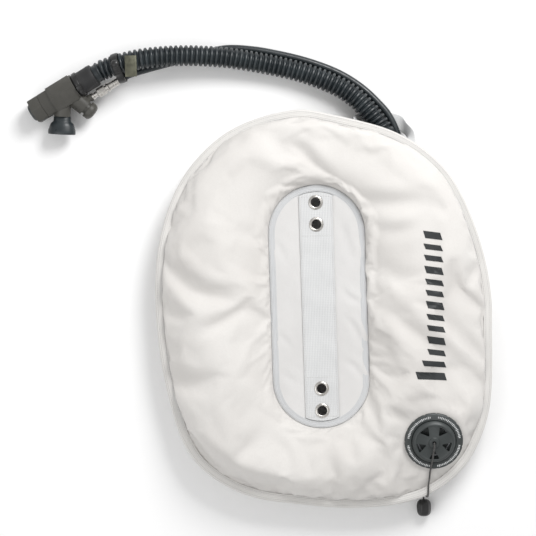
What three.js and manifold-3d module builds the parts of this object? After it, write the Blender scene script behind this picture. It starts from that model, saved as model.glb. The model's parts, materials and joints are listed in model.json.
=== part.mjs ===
// Single-cylinder buoyancy wing: a ring-shaped air cell around a webbing-backed centre panel, with a
// dump valve, an elbow, a corrugated hose and a power inflator. Millimetres, +Z towards the backplate.
// The wing lies on its tank side; the origin is the centre of the eyelet pattern on the webbing's face.
import * as THREE from 'three';
import { mergeVertices } from 'three/addons/utils/BufferGeometryUtils.js';
import Module from 'manifold-3d';

const wasm = await Module();
wasm.setup();

// ---- Wing -------------------------------------------------------------------------------------------
const WING_WIDTH = 503;
const WING_HEIGHT = 601;
const FRONT_BULGE = 42;
const REAR_BULGE = 45;
const SHELL_THICKNESS = 1.5;
const CELL_THICKNESS = 0.8;
const FLANGE_THICKNESS = 1.2;
const BINDING_WIDTH = 13;
const BINDING_THICKNESS = 1.2;
const BINDING_LIP = 1.9;
const FULL_CHORD = 150;
const GAP = 0.3;

// ---- Centre panel -----------------------------------------------------------------------------------
const PANEL_WIDTH = 145;
const PANEL_HEIGHT = 365;
const PANEL_THICKNESS = 1.6;
const TAPE_WIDTH = 10;
const TAPE_THICKNESS = 1;
const WEBBING_WIDTH = 50;
const WEBBING_THICKNESS = 2.4;
const EYELET_BORE = 14;
const EYELET_BARREL = 16;
const EYELET_OUTSIDE = 22;
const EYELET_FLANGE = 1.3;
const EYELET_PITCH = 33;
const BOLT_SPACING = 279.4;

// ---- Hoses ------------------------------------------------------------------------------------------
const HOSE_DIAMETER = 31.5;
const HOSE_BORE = 26;
const CUFF_WALL = 4.2;
const CUFF_LENGTH = 33;
const TIE_WIDTH = 6;
const TIE_THICKNESS = 1.7;
const LP_DIAMETER = 11;
const CORD_DIAMETER = 2.5;

// ---- Valve, elbow and inflator places ---------------------------------------------------------------
const VALVE_SHARE = 0.3908;
const VALVE_INSET = 64.2;
const VALVE_RISE = 30;
const VALVE_TILT = 15;
const VALVE_DIAMETER = 87;
const VALVE_THREAD = 56;
const VALVE_STROKE = 4;
const ELBOW_FROM_RIGHT = 136.5;
const ELBOW_FROM_TOP = 115.5;
const ELBOW_TURN = 5;
const ELBOW_NECK = 32;
const POCKET_DEPTH = 4.5;
const BODY_FLATS = 40;
const BODY_LENGTH = 39;
const NECK_LENGTH = 16;
const END_CAP_LENGTH = 18;
const MOUTHPIECE_WIDTH = 42;
const MOUTHPIECE_FLATTEN = 0.72;
const DEFLATE_STROKE = 4;
const INFLATE_STROKE = 3;
const SLEEVE_STROKE = 2.7;

// ---- Derived levels ---------------------------------------------------------------------------------
const WEBBING_BACK = -WEBBING_THICKNESS;
const PANEL_FRONT = WEBBING_BACK - GAP;
const PANEL_BACK = PANEL_FRONT - PANEL_THICKNESS;
const SEAM_Z = (PANEL_FRONT + PANEL_BACK) / 2;
const TABLE_Z = SEAM_Z - REAR_BULGE;
const PANEL_RADIUS = PANEL_WIDTH / 2;
const PANEL_STRAIGHT = PANEL_HEIGHT / 2 - PANEL_RADIUS;
const FACET_AROUND = 25;
const FACET_ACROSS = 60;
const AROUND = Math.round((WING_WIDTH + WING_HEIGHT) / FACET_AROUND);
const ACROSS = Math.round((WING_WIDTH - PANEL_WIDTH) / FACET_ACROSS);

// The wing's outline from the eyelet centre, as shares of half its width and half its height.
const OUTLINE = [
  [-0.06, 0.985], [0.24, 0.92], [0.425, 0.882], [0.53, 0.842], [0.78, 0.669], [0.942, 0.389], [1.026, 0.067],
  [1.022, -0.25], [0.998, -0.539], [0.851, -0.809], [0.596, -0.965], [0.239, -1.012], [-0.155, -0.985],
  [-0.497, -0.922], [-0.783, -0.739], [-0.926, -0.383], [-0.974, 0.08], [-0.926, 0.396], [-0.783, 0.672],
  [-0.493, 0.895],
];

// Centre lines of the two hoses, from the inflator to the wing.
const HOSE_ROUTE = [
  [-325.9, 360, -15.2], [-314, 366.5, -13.8], [-297, 371.6, -11.5], [-278, 376.6, -9.2], [-255, 380.6, -8],
  [-228, 383.2, -9.6], [-193, 384.2, -14], [-163, 383.2, -18.6], [-126, 380, -23.8], [-88, 373.4, -28.4],
  [-58, 367, -31], [-23, 358, -32.2], [2, 349.5, -32.3], [28, 338.5, -32.2], [50, 326.5, -31.8],
  [69, 311.5, -31], [84, 295, -30.2], [96, 279, -29.8], [104.5, 266, -29.2], [108.5, 258.5, -28.7],
  [109.9, 243.2, -28.7],
];
const LP_ROUTE = [
  [-281.5, 355.6, -20.4], [-276.8, 358.1, -20.1], [-270, 360.6, -22], [-260, 363.9, -27], [-248, 367.8, -34],
  [-234, 372, -40], [-214, 377, -42.6], [-188, 383, -42.7], [-160, 390, -42.7], [-128, 396, -42.7], [-85, 392.6, -42.7],
  [-52, 385.8, -42.7], [-17, 376.6, -42.7], [10, 367.4, -42.7], [38, 355.4, -42.7], [62, 341.2, -42.6],
  [83, 324.6, -42], [99.6, 307.5, -41], [114, 290, -40.6], [124.2, 270, -40.6], [131.2, 247, -41.8],
  [138.5, 223, -42.7], [141.5, 200, -42.7], [142, 181, -42.7], [137, 163, -42.7], [125, 149, -42.7],
  [108, 140, -42.7], [89, 134, -42.7], [70, 125, -42.4], [53, 111, -41.6], [41, 92, -40.6], [35, 73, -40.1],
  [33.1, 58, -39.9], [33, 48, -39.9],
];
const PULL_ROUTE = [
  [163, -207.1, 38], [162.9, -208.6, 40.4], [162.6, -212, 41.4], [162.2, -216, 39.6], [161.5, -221, 36.4],
  [160.8, -227, 33.8], [159.9, -233, 32.1], [159.2, -237, 30.2], [158.6, -241, 26], [157.9, -245, 23.4],
  [157.4, -249, 18], [157, -253, 15.5], [156.4, -259, 13.8], [156, -263, 11.6], [155.6, -268, 6.2],
  [155.2, -272.5, 2.8], [154.9, -278, 1.7], [154.5, -285, 1.9], [154, -290.2, -1.8], [153.3, -291.4, -8],
  [152.2, -290.8, -16], [151.2, -290.8, -26], [150.7, -292, -33.5], [150.5, -295, -36.8], [150.4, -298.2, -37.2],
];

const COLOURS = {
  fabric: [0xe8e4dd, 0.85, 0],
  cell: [0xc9cdd0, 0.6, 0],
  tape: [0xc9cbcc, 0.8, 0],
  webbing: [0xcdcfd0, 0.8, 0],
  nickel: [0xb4b2ac, 0.35, 1],
  steel: [0x9c9a90, 0.4, 1],
  plastic: [0x3c4042, 0.5, 0],
  rubber: [0x2a3034, 0.7, 0],
  seal: [0x202224, 0.8, 0],
  cord: [0x3c3a38, 0.8, 0],
};

const wing = new THREE.Group();

// ---- Helpers ----------------------------------------------------------------------------------------
function outward(geometry) {
  let shape = geometry.clone();
  shape.deleteAttribute('normal');
  shape.deleteAttribute('uv');
  shape = mergeVertices(shape, 1e-4);
  const place = shape.getAttribute('position');
  const index = Array.from(shape.index.array);
  const corners = [new THREE.Vector3(), new THREE.Vector3(), new THREE.Vector3()];
  const faces = [];
  let volume = 0;
  for (let i = 0; i < index.length; i += 3) {
    const [a, b, c] = index.slice(i, i + 3);
    if (a === b || b === c || c === a) continue;
    [a, b, c].forEach((vertex, k) => corners[k].fromBufferAttribute(place, vertex));
    volume += corners[0].dot(corners[1].clone().cross(corners[2]));
    faces.push(a, b, c);
  }
  if (volume < 0) {
    for (let i = 0; i < faces.length; i += 3) [faces[i], faces[i + 1]] = [faces[i + 1], faces[i]];
  }
  shape.setIndex(faces);
  return shape;
}

function toSolid(geometry) {
  const shape = outward(geometry);
  return new wasm.Manifold(new wasm.Mesh({
    numProp: 3,
    vertProperties: new Float32Array(shape.getAttribute('position').array),
    triVerts: new Uint32Array(shape.index.array),
  }));
}

function toGeometry(solid) {
  const mesh = solid.getMesh();
  const geometry = new THREE.BufferGeometry();
  geometry.setAttribute('position', new THREE.BufferAttribute(new Float32Array(mesh.vertProperties), 3));
  geometry.setIndex(new THREE.BufferAttribute(new Uint32Array(mesh.triVerts), 1));
  return geometry;
}

function join(first, ...others) {
  return toGeometry(others.reduce((sum, each) => sum.add(toSolid(each)), toSolid(first)));
}

function cut(first, ...others) {
  return toGeometry(others.reduce((rest, each) => rest.subtract(toSolid(each)), toSolid(first)));
}

function add(name, look, geometry, parent = wing) {
  const [color, roughness, metalness] = COLOURS[look];
  const mesh = new THREE.Mesh(outward(geometry), new THREE.MeshStandardMaterial({ color, roughness, metalness }));
  mesh.name = name;
  parent.add(mesh);
  return mesh;
}

// A turned piece about +Z. Its profile is [radius, height] pairs and closes on the axis or on itself.
function turned(profile, sides = 20) {
  const points = profile.map(([radius, height]) => new THREE.Vector2(radius, height));
  const closesOnAxis = profile[0][0] === 0 && profile[profile.length - 1][0] === 0;
  if (!closesOnAxis) points.push(points[0].clone());
  return outward(new THREE.LatheGeometry(points, sides).rotateX(Math.PI / 2));
}

function ring(inside, outside, bottom, top, sides = 20) {
  return turned([[inside, bottom], [outside, bottom], [outside, top], [inside, top]], sides);
}

function rod(radius, bottom, top, sides = 20) {
  return turned([[0, bottom], [radius, bottom], [radius, top], [0, top]], sides);
}

function circle(radius, x, y, sides = 16) {
  return Array.from({ length: sides }, (_, k) => {
    const angle = (2 * Math.PI * k) / sides;
    return new THREE.Vector2(x + radius * Math.sin(angle), y + radius * Math.cos(angle));
  });
}

function plate(outline, thickness, bottom, holes = []) {
  const shape = new THREE.Shape(THREE.ShapeUtils.isClockWise(outline) ? outline.slice().reverse() : outline);
  holes.forEach((hole) => shape.holes.push(new THREE.Path(hole)));
  return new THREE.ExtrudeGeometry(shape, { depth: thickness, bevelEnabled: false }).translate(0, 0, bottom);
}

// Closed sections joined in turn: round a ring, or from one capped end to the other. Past turnBack a
// section runs back under its first part, so its faces are split along the same diagonals as those.
function loft(sections, closed, turnBack = Infinity) {
  const count = sections.length;
  const size = sections[0].length;
  const faces = [];
  const rows = closed ? count : count - 1;
  for (let i = 0; i < rows; i++) {
    for (let j = 0; j < size; j++) {
      const a = i * size + j;
      const b = i * size + ((j + 1) % size);
      const c = ((i + 1) % count) * size + ((j + 1) % size);
      const d = ((i + 1) % count) * size + j;
      if (j < turnBack) faces.push(a, b, c, a, c, d);
      else faces.push(a, b, d, b, c, d);
    }
  }
  if (!closed) {
    for (let j = 1; j < size - 1; j++) {
      faces.push(0, j + 1, j, (count - 1) * size, (count - 1) * size + j, (count - 1) * size + j + 1);
    }
  }
  const geometry = new THREE.BufferGeometry().setFromPoints(sections.flat());
  geometry.setIndex(faces);
  return outward(geometry);
}

function tube(route, diameter, sides, steps) {
  const curve = new THREE.CatmullRomCurve3(route.map((point) => new THREE.Vector3(...point)));
  const section = new THREE.Shape(circle(diameter / 2, 0, 0, sides));
  return new THREE.ExtrudeGeometry(section, { steps, extrudePath: curve, bevelEnabled: false });
}

// Turns a piece's +Z to a direction and keeps its +Y as near to up as it can.
function facing(direction) {
  const side = new THREE.Vector3(0, 0, 1).cross(direction).normalize();
  return new THREE.Matrix4().makeBasis(side, direction.clone().cross(side), direction);
}

// ---- Wing skins -------------------------------------------------------------------------------------
const outlineCurve = new THREE.CatmullRomCurve3(
  OUTLINE.map(([x, y]) => new THREE.Vector3((x * WING_WIDTH) / 2, (y * WING_HEIGHT) / 2, 0)), true);

const panelPath = new THREE.Path();
panelPath.absarc(0, PANEL_STRAIGHT, PANEL_RADIUS, Math.PI / 2, 0, true);
panelPath.lineTo(PANEL_RADIUS, -PANEL_STRAIGHT);
panelPath.absarc(0, -PANEL_STRAIGHT, PANEL_RADIUS, 0, -Math.PI, true);
panelPath.lineTo(-PANEL_RADIUS, PANEL_STRAIGHT);
panelPath.absarc(0, PANEL_STRAIGHT, PANEL_RADIUS, Math.PI, Math.PI / 2, true);

const stations = Array.from({ length: AROUND }, (_, k) => {
  const share = k / AROUND;
  const rim = outlineCurve.getPointAt(share);
  const rimTangent = outlineCurve.getTangentAt(share);
  const hem = panelPath.getPoint(share);
  const hemTangent = panelPath.getTangent(share);
  return {
    rim: new THREE.Vector2(rim.x, rim.y),
    rimOut: new THREE.Vector2(-rimTangent.y, rimTangent.x),
    hem,
    hemOut: new THREE.Vector2(-hemTangent.y, hemTangent.x),
  };
});

const atRim = (station, inset) => station.rim.clone().addScaledVector(station.rimOut, -inset);
const atHem = (station, offset) => station.hem.clone().addScaledVector(station.hemOut, offset);
const onLevel = (point, z) => new THREE.Vector3(point.x, point.y, z);

// The valve stands a set distance inside the rim, at its share of the way round.
const valveTangent = outlineCurve.getTangentAt(VALVE_SHARE);
const valveRim = outlineCurve.getPointAt(VALVE_SHARE);
const valvePlace = new THREE.Vector2(valveRim.x + valveTangent.y * VALVE_INSET,
  valveRim.y - valveTangent.x * VALVE_INSET);
const elbowPlace = new THREE.Vector2(WING_WIDTH / 2 - ELBOW_FROM_RIGHT, WING_HEIGHT / 2 - ELBOW_FROM_TOP);

function distanceToRoute(point, route) {
  let nearest = Infinity;
  for (let k = 1; k < route.length; k++) {
    const start = new THREE.Vector3(route[k - 1][0], route[k - 1][1], 0);
    const end = new THREE.Vector3(route[k][0], route[k][1], 0);
    const foot = new THREE.Line3(start, end).closestPointToPoint(onLevel(point, 0), true, new THREE.Vector3());
    nearest = Math.min(nearest, foot.distanceTo(onLevel(point, 0)));
  }
  return nearest;
}

// How deep the rear skin may reach over a hose or the elbow: flat over it, and a slope beside it.
function rearLimit(point) {
  const slope = 0.9;
  const elbow = POCKET_DEPTH + slope * Math.max(0, point.distanceTo(elbowPlace) - 66);
  const hose = POCKET_DEPTH + slope * Math.max(0, distanceToRoute(point, HOSE_ROUTE) - HOSE_DIAMETER);
  const lpRoom = REAR_BULGE - LP_DIAMETER - 4;
  const lp = lpRoom + slope * Math.max(0, distanceToRoute(point, LP_ROUTE) - 22);
  return Math.min(elbow, hose, lp);
}

// The front skin is drawn flat under the dump valve, on its tilted plane.
function frontHeight(point, free) {
  const offset = point.clone().sub(valvePlace);
  const plane = Math.min(VALVE_RISE + offset.y * Math.tan(THREE.MathUtils.degToRad(VALVE_TILT)), FRONT_BULGE + 6);
  const blend = THREE.MathUtils.smoothstep(offset.length(), VALVE_DIAMETER * 0.8, VALVE_DIAMETER * 1.25);
  return THREE.MathUtils.lerp(plane, free, blend);
}

// Points across one skin at a station, from the hem to the rim; level counts inwards from its outside.
function skin(station, side, level) {
  const start = atHem(station, GAP + level);
  const end = atRim(station, BINDING_WIDTH + level);
  const chord = start.distanceTo(end);
  const fullness = Math.min(1, chord / FULL_CHORD) ** 0.8;
  return Array.from({ length: ACROSS + 1 }, (_, j) => {
    const share = (1 - Math.cos((Math.PI * j) / ACROSS)) / 2;
    const point = start.clone().lerp(end, share);
    const arch = (4 * share * (1 - share)) ** 0.55 * fullness;
    if (j === 0 || j === ACROSS) return onLevel(point, 0);
    const free = side > 0 ? frontHeight(point, FRONT_BULGE * arch)
      : Math.min(REAR_BULGE * arch * 1.06, REAR_BULGE, rearLimit(point));
    return onLevel(point, side * Math.max(free - level, FLANGE_THICKNESS));
  });
}

function shellGeometry(side) {
  const base = side * (GAP / 2);
  const sections = stations.map((station) => {
    const outer = skin(station, side, 0);
    const inner = skin(station, side, SHELL_THICKNESS);
    const foot = outer[ACROSS];
    const tip = atRim(station, BINDING_LIP);
    const flange = side * FLANGE_THICKNESS;
    return [
      ...outer.slice(0, ACROSS), onLevel(foot, flange), onLevel(tip, flange), onLevel(tip, 0),
      ...inner.slice().reverse(),
    ].map((point) => point.clone().setZ(point.z + SEAM_Z + base));
  });
  return loft(sections, true, ACROSS + 3);
}

function cellGeometry(level) {
  return loft(stations.map((station) => {
    const front = skin(station, 1, level);
    const rear = skin(station, -1, level);
    return [...front, ...rear.slice(1, ACROSS).reverse()].map((point) => point.clone().setZ(point.z + SEAM_Z));
  }), true, ACROSS);
}

const valveFrame = new THREE.Group();
valveFrame.position.set(valvePlace.x, valvePlace.y, SEAM_Z + GAP / 2 + VALVE_RISE);
valveFrame.rotation.x = THREE.MathUtils.degToRad(VALVE_TILT);
valveFrame.updateMatrix();
const elbowFrame = new THREE.Group();
elbowFrame.position.set(elbowPlace.x, elbowPlace.y, 0);
elbowFrame.rotation.z = THREE.MathUtils.degToRad(ELBOW_TURN);
elbowFrame.updateMatrix();
wing.add(valveFrame, elbowFrame);

const SHELL_SKIN_Z = SEAM_Z - GAP / 2 - POCKET_DEPTH;
const CELL_LEVEL = SHELL_THICKNESS + GAP;
const valveHole = rod(VALVE_THREAD / 2 + GAP, -12, 6).applyMatrix4(valveFrame.matrix);
const elbowHole = rod(ELBOW_NECK / 2 + GAP, -14, 0).applyMatrix4(elbowFrame.matrix);

function addSkins() {
  add('front_shell', 'fabric', cut(shellGeometry(1), valveHole));
  add('rear_shell', 'fabric', cut(shellGeometry(-1), elbowHole));
  const inside = cellGeometry(CELL_LEVEL + CELL_THICKNESS);
  add('air_cell', 'cell', cut(cellGeometry(CELL_LEVEL), inside, valveHole, elbowHole));
}

function addBinding() {
  const half = GAP / 2 + FLANGE_THICKNESS + GAP;
  const outside = half + BINDING_THICKNESS;
  add('edge_binding', 'tape', loft(stations.map((station) => [
    [BINDING_WIDTH - GAP, outside], [0.8, outside], [0, half], [0, -half], [0.8, -outside],
    [BINDING_WIDTH - GAP, -outside], [BINDING_WIDTH - GAP, -half], [BINDING_LIP - GAP, -half],
    [BINDING_LIP - GAP, half], [BINDING_WIDTH - GAP, half],
  ].map(([inset, z]) => onLevel(atRim(station, inset), SEAM_Z + z))), true));
}

// ---- Centre panel -----------------------------------------------------------------------------------
const eyeletRows = [-1, 1].flatMap((end) =>
  [0, 1].map((row) => end * (BOLT_SPACING / 2 + (row - 0.5) * EYELET_PITCH)));
const eyeletHoles = (diameter) => eyeletRows.map((y) => circle(diameter / 2 + GAP, 0, y));

function addPanel() {
  const hem = (offset) => stations.map((station) => atHem(station, offset));
  add('centre_panel', 'fabric', plate(hem(0), PANEL_THICKNESS, PANEL_BACK, eyeletHoles(EYELET_BARREL)));
  add('front_panel_tape', 'tape', plate(hem(0), TAPE_THICKNESS, PANEL_FRONT + GAP, [hem(-TAPE_WIDTH)]));
  add('rear_panel_tape', 'tape',
    plate(hem(0), TAPE_THICKNESS, PANEL_BACK - GAP - TAPE_THICKNESS, [hem(-TAPE_WIDTH)]));
  const endRadius = PANEL_RADIUS - TAPE_WIDTH - 3 * GAP;
  const corner = Math.acos(WEBBING_WIDTH / 2 / endRadius);
  const strap = new THREE.Shape();
  strap.absarc(0, PANEL_STRAIGHT, endRadius, corner, Math.PI - corner);
  strap.absarc(0, -PANEL_STRAIGHT, endRadius, Math.PI + corner, 2 * Math.PI - corner);
  add('centre_webbing', 'webbing',
    plate(strap.getPoints(6), WEBBING_THICKNESS, WEBBING_BACK, eyeletHoles(EYELET_OUTSIDE)));
}

// The eyelets' flanges are pressed into the webbing.
function addEyelets() {
  const back = PANEL_BACK - GAP;
  eyeletRows.forEach((y, k) => {
    const eyelet = turned([
      [EYELET_BORE / 2, EYELET_FLANGE], [EYELET_OUTSIDE / 2 - 0.6, EYELET_FLANGE], [EYELET_OUTSIDE / 2, GAP],
      [EYELET_OUTSIDE / 2, WEBBING_BACK], [EYELET_BARREL / 2, WEBBING_BACK], [EYELET_BARREL / 2, back - 1.2],
      [EYELET_BORE / 2, back - 1.2],
    ], 16);
    add(`eyelet_${k + 1}`, 'nickel', eyelet.translate(0, y, 0));
    const washer = ring(EYELET_BARREL / 2 + GAP, EYELET_OUTSIDE / 2, back - 1.2, back, 16);
    add(`eyelet_washer_${k + 1}`, 'nickel', washer.translate(0, y, 0));
  });
}

// A webbing loop that leaves the rim, passes under both hoses and comes back to the rim. Each stop has
// its share of the way round the rim, its distance outside it and its level, then half the webbing's
// width along the rim, outwards and up.
function addHoseLoop() {
  const stops = [
    [[0.0465, -7.4, -8.4], [-3.5, 6, 0]], [[0.047, -3.5, -17], [-6.8, 7.1, 0]],
    [[0.048, -1.1, -33], [-8, 7.9, 0]],
    [[0.05, 3.4, -43.5], [-5.4, 10.6, 0]], [[0.055, 9, -47.4], [-1.6, 12.1, 0]],
    [[0.0645, 13.6, -47.4], [1.4, 12.3, 0]], [[0.0795, 19.7, -47.2], [-0.8, 10.3, 0]],
    [[0.0865, 14.8, -38], [-2.6, 7.8, 4]], [[0.092, 8, -20], [2, 6.1, 4]], [[0.0945, -1.7, -8.6], [7.5, 1.4, 0]],
  ];
  const thickness = 1.6;
  const placed = stops.map(([[share, outside, z], [along, outwards, up]]) => {
    const tangent = outlineCurve.getTangentAt(share);
    const normal = new THREE.Vector3(-tangent.y, tangent.x, 0);
    return {
      centre: onLevel(outlineCurve.getPointAt(share).addScaledVector(normal, outside), z),
      across: onLevel(tangent.multiplyScalar(along).addScaledVector(normal, outwards), up),
    };
  });
  const centres = new THREE.CatmullRomCurve3(placed.map(({ centre }) => centre));
  const halves = new THREE.CatmullRomCurve3(placed.map(({ across }) => across));
  const steps = 4 * (placed.length - 1);
  const sections = Array.from({ length: steps + 1 }, (_, k) => {
    const across = halves.getPoint(k / steps);
    const lift = centres.getTangent(k / steps).cross(across).setLength(thickness / 2);
    return [[1, 1], [-1, 1], [-1, -1], [1, -1]].map(([side, face]) =>
      centres.getPoint(k / steps).addScaledVector(across, side).addScaledVector(lift, face));
  });
  add('hose_loop', 'webbing', loft(sections, false));
}

// ---- Dump valve, about its own axis, with its zero on the front skin --------------------------------
function addDumpValve() {
  const thread = VALVE_THREAD / 2;
  const outside = VALVE_DIAMETER / 2;
  const inner = -(CELL_LEVEL + CELL_THICKNESS + GAP);
  const seat = inner - 3;
  const capRadius = 32.5;
  const capTop = 11;
  const capWall = 2;
  add('valve_flange', 'plastic', ring(thread + GAP, 38, seat, inner), valveFrame);
  add('valve_body', 'plastic', turned([
    [18, seat], [thread, seat], [thread, GAP], [capRadius, GAP], [capRadius, 3], [25, 3], [25, seat + 3],
    [18, seat + 3],
  ]), valveFrame);
  add('valve_ring', 'plastic', turned([
    [capRadius + 2 * GAP, GAP], [outside, GAP], [outside, 3.4], [outside - 2.2, 5.5],
    [capRadius + 2 * GAP, 5.5],
  ], 32), valveFrame);
  const shut = seat + 3 + GAP;
  add('poppet_seal', 'seal', ring(18.6, 21.6, shut, shut + 1.2, 20), valveFrame);
  const disc = shut + 1.2 + GAP;
  add('valve_poppet', 'plastic', turned([
    [0, disc], [22, disc], [22, disc + 1.6], [3, disc + 1.6], [3, disc + 3], [0, disc + 3],
  ], 20), valveFrame);
  const ceiling = capTop - capWall;
  add('valve_spring', 'steel', ring(5, 7.5, disc + 1.6 + VALVE_STROKE + GAP, ceiling - GAP, 16), valveFrame);
  let cap = turned([
    [2.6, ceiling], [capRadius - capWall, ceiling], [capRadius - capWall, 3 + GAP], [capRadius, 3 + GAP],
    [capRadius, ceiling], [capRadius - 3, capTop], [2.6, capTop],
  ], 28);
  const windows = Array.from({ length: 5 }, (_, k) => {
    const shape = new THREE.Shape();
    shape.moveTo(14, -3);
    shape.lineTo(14, 3);
    shape.quadraticCurveTo(20, 9, 24.5, 7.5);
    shape.quadraticCurveTo(27, 0, 24.5, -7.5);
    shape.quadraticCurveTo(20, -9, 14, -3);
    return new THREE.ExtrudeGeometry(shape, { depth: 6, curveSegments: 3, bevelEnabled: false })
      .translate(0, 0, 7).rotateZ(THREE.MathUtils.degToRad(54 + 72 * k));
  });
  cap = cut(cap, ...windows);
  add('valve_cap', 'plastic', cap, valveFrame);
}

function addPull() {
  add('pull_cord', 'cord', tube(PULL_ROUTE, CORD_DIAMETER, 8, 34));
  const knob = turned([[0, 0], [8, 0], [11, 2.5], [11, 23], [8.5, 26], [0, 26]], 16);
  const [x, y, z] = PULL_ROUTE[PULL_ROUTE.length - 1];
  add('pull_knob', 'plastic', knob.rotateX(Math.PI / 2).translate(x, y - GAP, z));
}

// ---- Elbow: a neck down through the rear skin and a spigot towards the top of the wing --------------
const SPIGOT = HOSE_BORE / 2;
const CUFF_INSIDE = SPIGOT + GAP;
const CUFF_OUTSIDE = CUFF_INSIDE + CUFF_WALL;
const ELBOW_AXIS_Z = TABLE_Z + CUFF_OUTSIDE + TIE_THICKNESS + 2 * GAP;
const ELBOW_REACH = 58;

function addElbow() {
  const neck = ELBOW_NECK / 2;
  const along = (geometry) => geometry.rotateX(-Math.PI / 2).translate(0, 0, ELBOW_AXIS_Z);
  const inside = SHELL_SKIN_Z + CELL_LEVEL + CELL_THICKNESS + GAP;
  const body = join(rod(neck, ELBOW_AXIS_Z, inside + 3), along(rod(SPIGOT, 0, ELBOW_REACH)),
    new THREE.SphereGeometry(neck, 20, 12).rotateX(Math.PI / 2).translate(0, 0, ELBOW_AXIS_Z));
  add('elbow', 'plastic', cut(body, rod(neck - 4.5, ELBOW_AXIS_Z, inside + 4),
    along(rod(SPIGOT - 3, 0, ELBOW_REACH + 1))), elbowFrame);
  add('elbow_flange', 'plastic', ring(neck + GAP, 29, inside, inside + 2.8), elbowFrame);
  const nut = cut(rod(27, SHELL_SKIN_Z - GAP - 3.6, SHELL_SKIN_Z - GAP, 8), rod(neck + GAP, SHELL_SKIN_Z - 6, 0));
  add('elbow_nut', 'plastic', nut, elbowFrame);
  const cuffStart = ELBOW_REACH - CUFF_LENGTH + 4;
  add('elbow_cuff', 'rubber', along(ring(CUFF_INSIDE, CUFF_OUTSIDE, cuffStart, ELBOW_REACH, 20)), elbowFrame);
  const tieInside = CUFF_OUTSIDE + GAP;
  add('elbow_tie', 'plastic',
    along(ring(tieInside, tieInside + TIE_THICKNESS, cuffStart + 8, cuffStart + 8 + TIE_WIDTH, 20)), elbowFrame);
}

// ---- Power inflator: its own X runs from the end cap to the hose, zero at the hose flange -----------
const inflator = new THREE.Group();
inflator.position.set(-357.5, 342.5, -19);
inflator.rotation.set(0, THREE.MathUtils.degToRad(-6), THREE.MathUtils.degToRad(28.9), 'ZYX');
inflator.updateMatrix();
wing.add(inflator);

const alongX = (geometry) => geometry.rotateY(Math.PI / 2);

// A six-sided bar with one of its edges towards +Z.
function hexagon(flats, start, end) {
  const radius = flats / Math.sqrt(3);
  const bar = new THREE.CylinderGeometry(radius, radius, end - start, 6).rotateX(Math.PI / 2);
  return alongX(bar.rotateZ(Math.PI / 6).translate(0, 0, (start + end) / 2));
}

const NECK_START = -BODY_LENGTH;
const NECK_END = NECK_START - NECK_LENGTH;
const CAP_END = NECK_END - END_CAP_LENGTH;

const VALVE_ROOT = new THREE.Vector3(-14, 0, 0);
const VALVE_WAY = new THREE.Vector3(0.32, -0.925, -0.2).normalize();
const ORAL_ROOT = new THREE.Vector3(-20.6, 0, 0);
const ORAL_WAY = new THREE.Vector3(-0.56, -0.83, -0.06).normalize();
const LP_OFFSET = new THREE.Vector3(0, -25.2, -9);
const HOUSING_RADIUS = 13.5;
const HOUSING_END = 36;
const ORAL_RADIUS = 12.5;
const ORAL_END = 33.5;
const BORE = 9.5;

const onValve = (geometry) => geometry.applyMatrix4(facing(VALVE_WAY)).translate(...VALVE_ROOT);
const onOral = (geometry) => geometry.applyMatrix4(facing(ORAL_WAY)).translate(...ORAL_ROOT);
const onLp = (geometry) => alongX(geometry).translate(...LP_OFFSET);

function addInflatorBody() {
  const flange = alongX(rod(BODY_FLATS / 2, -1, 2.3));
  const spigot = alongX(rod(SPIGOT, -1, CUFF_LENGTH + 3));
  const body = join(hexagon(BODY_FLATS, NECK_START, 0), hexagon(BODY_FLATS - 4, NECK_END, NECK_START + 1),
    flange, spigot, onValve(rod(HOUSING_RADIUS, 6, HOUSING_END)), onOral(rod(ORAL_RADIUS, 6, ORAL_END)),
    onLp(rod(6, -6, 14)));
  add('inflator_body', 'plastic', cut(body, alongX(rod(BORE, NECK_END + 3, CUFF_LENGTH + 4)),
    onValve(rod(10, 15, HOUSING_END + 3)), onValve(rod(HOUSING_RADIUS, HOUSING_END, HOUSING_END + 8)),
    onOral(rod(ORAL_RADIUS - 3, 0, ORAL_END + 1)),
    alongX(rod(3.6, NECK_END - 1, NECK_END + 4, 16)), onLp(rod(2, -6, 15, 12)),
    alongX(ring(SPIGOT, CUFF_OUTSIDE + TIE_THICKNESS + 2 * GAP, 2.3, CUFF_LENGTH))), inflator);
}

function addInflatorEnd() {
  const pocket = 14;
  const floor = CAP_END + 12;
  const cap = cut(hexagon(BODY_FLATS - 4, CAP_END, NECK_END - GAP), alongX(rod(pocket, CAP_END - 1, floor)),
    alongX(rod(3.6, floor - 1, NECK_END, 16)));
  add('end_cap', 'plastic', cap, inflator);
  const head = CAP_END - 4.5;
  const headEnd = floor - GAP - DEFLATE_STROKE - 3.6;
  const sealPlace = NECK_END + 4;
  add('deflate_button', 'plastic', alongX(turned([
    [0, head], [pocket - 2.5, head], [pocket - 0.5, head + 2], [pocket - 0.5, headEnd], [3.2, headEnd],
    [3.2, sealPlace], [0, sealPlace],
  ], 24)), inflator);
  add('deflate_spring', 'steel', alongX(ring(7, 9.5, floor - GAP - 3, floor - GAP, 16)), inflator);
  add('exhaust_seal', 'seal', alongX(rod(BORE - 1, sealPlace + GAP, sealPlace + 2.5, 20)), inflator);
}

function addMouthpiece() {
  const inside = 9.6;
  const rim = MOUTHPIECE_WIDTH / 2;
  const start = ORAL_END + GAP;
  const cup = turned([
    [inside, start], [ORAL_RADIUS + 0.6, start], [ORAL_RADIUS + 0.6, start + 6.5], [17.5, start + 11],
    [rim, start + 21], [rim, start + 26.5], [rim - 2, start + 26.5], [rim - 2.6, start + 21], [15, start + 12],
    [inside, start + 8],
  ], 28);
  cup.scale(1, MOUTHPIECE_FLATTEN, 1);
  add('mouthpiece', 'rubber', onOral(cup), inflator);
}

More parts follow.
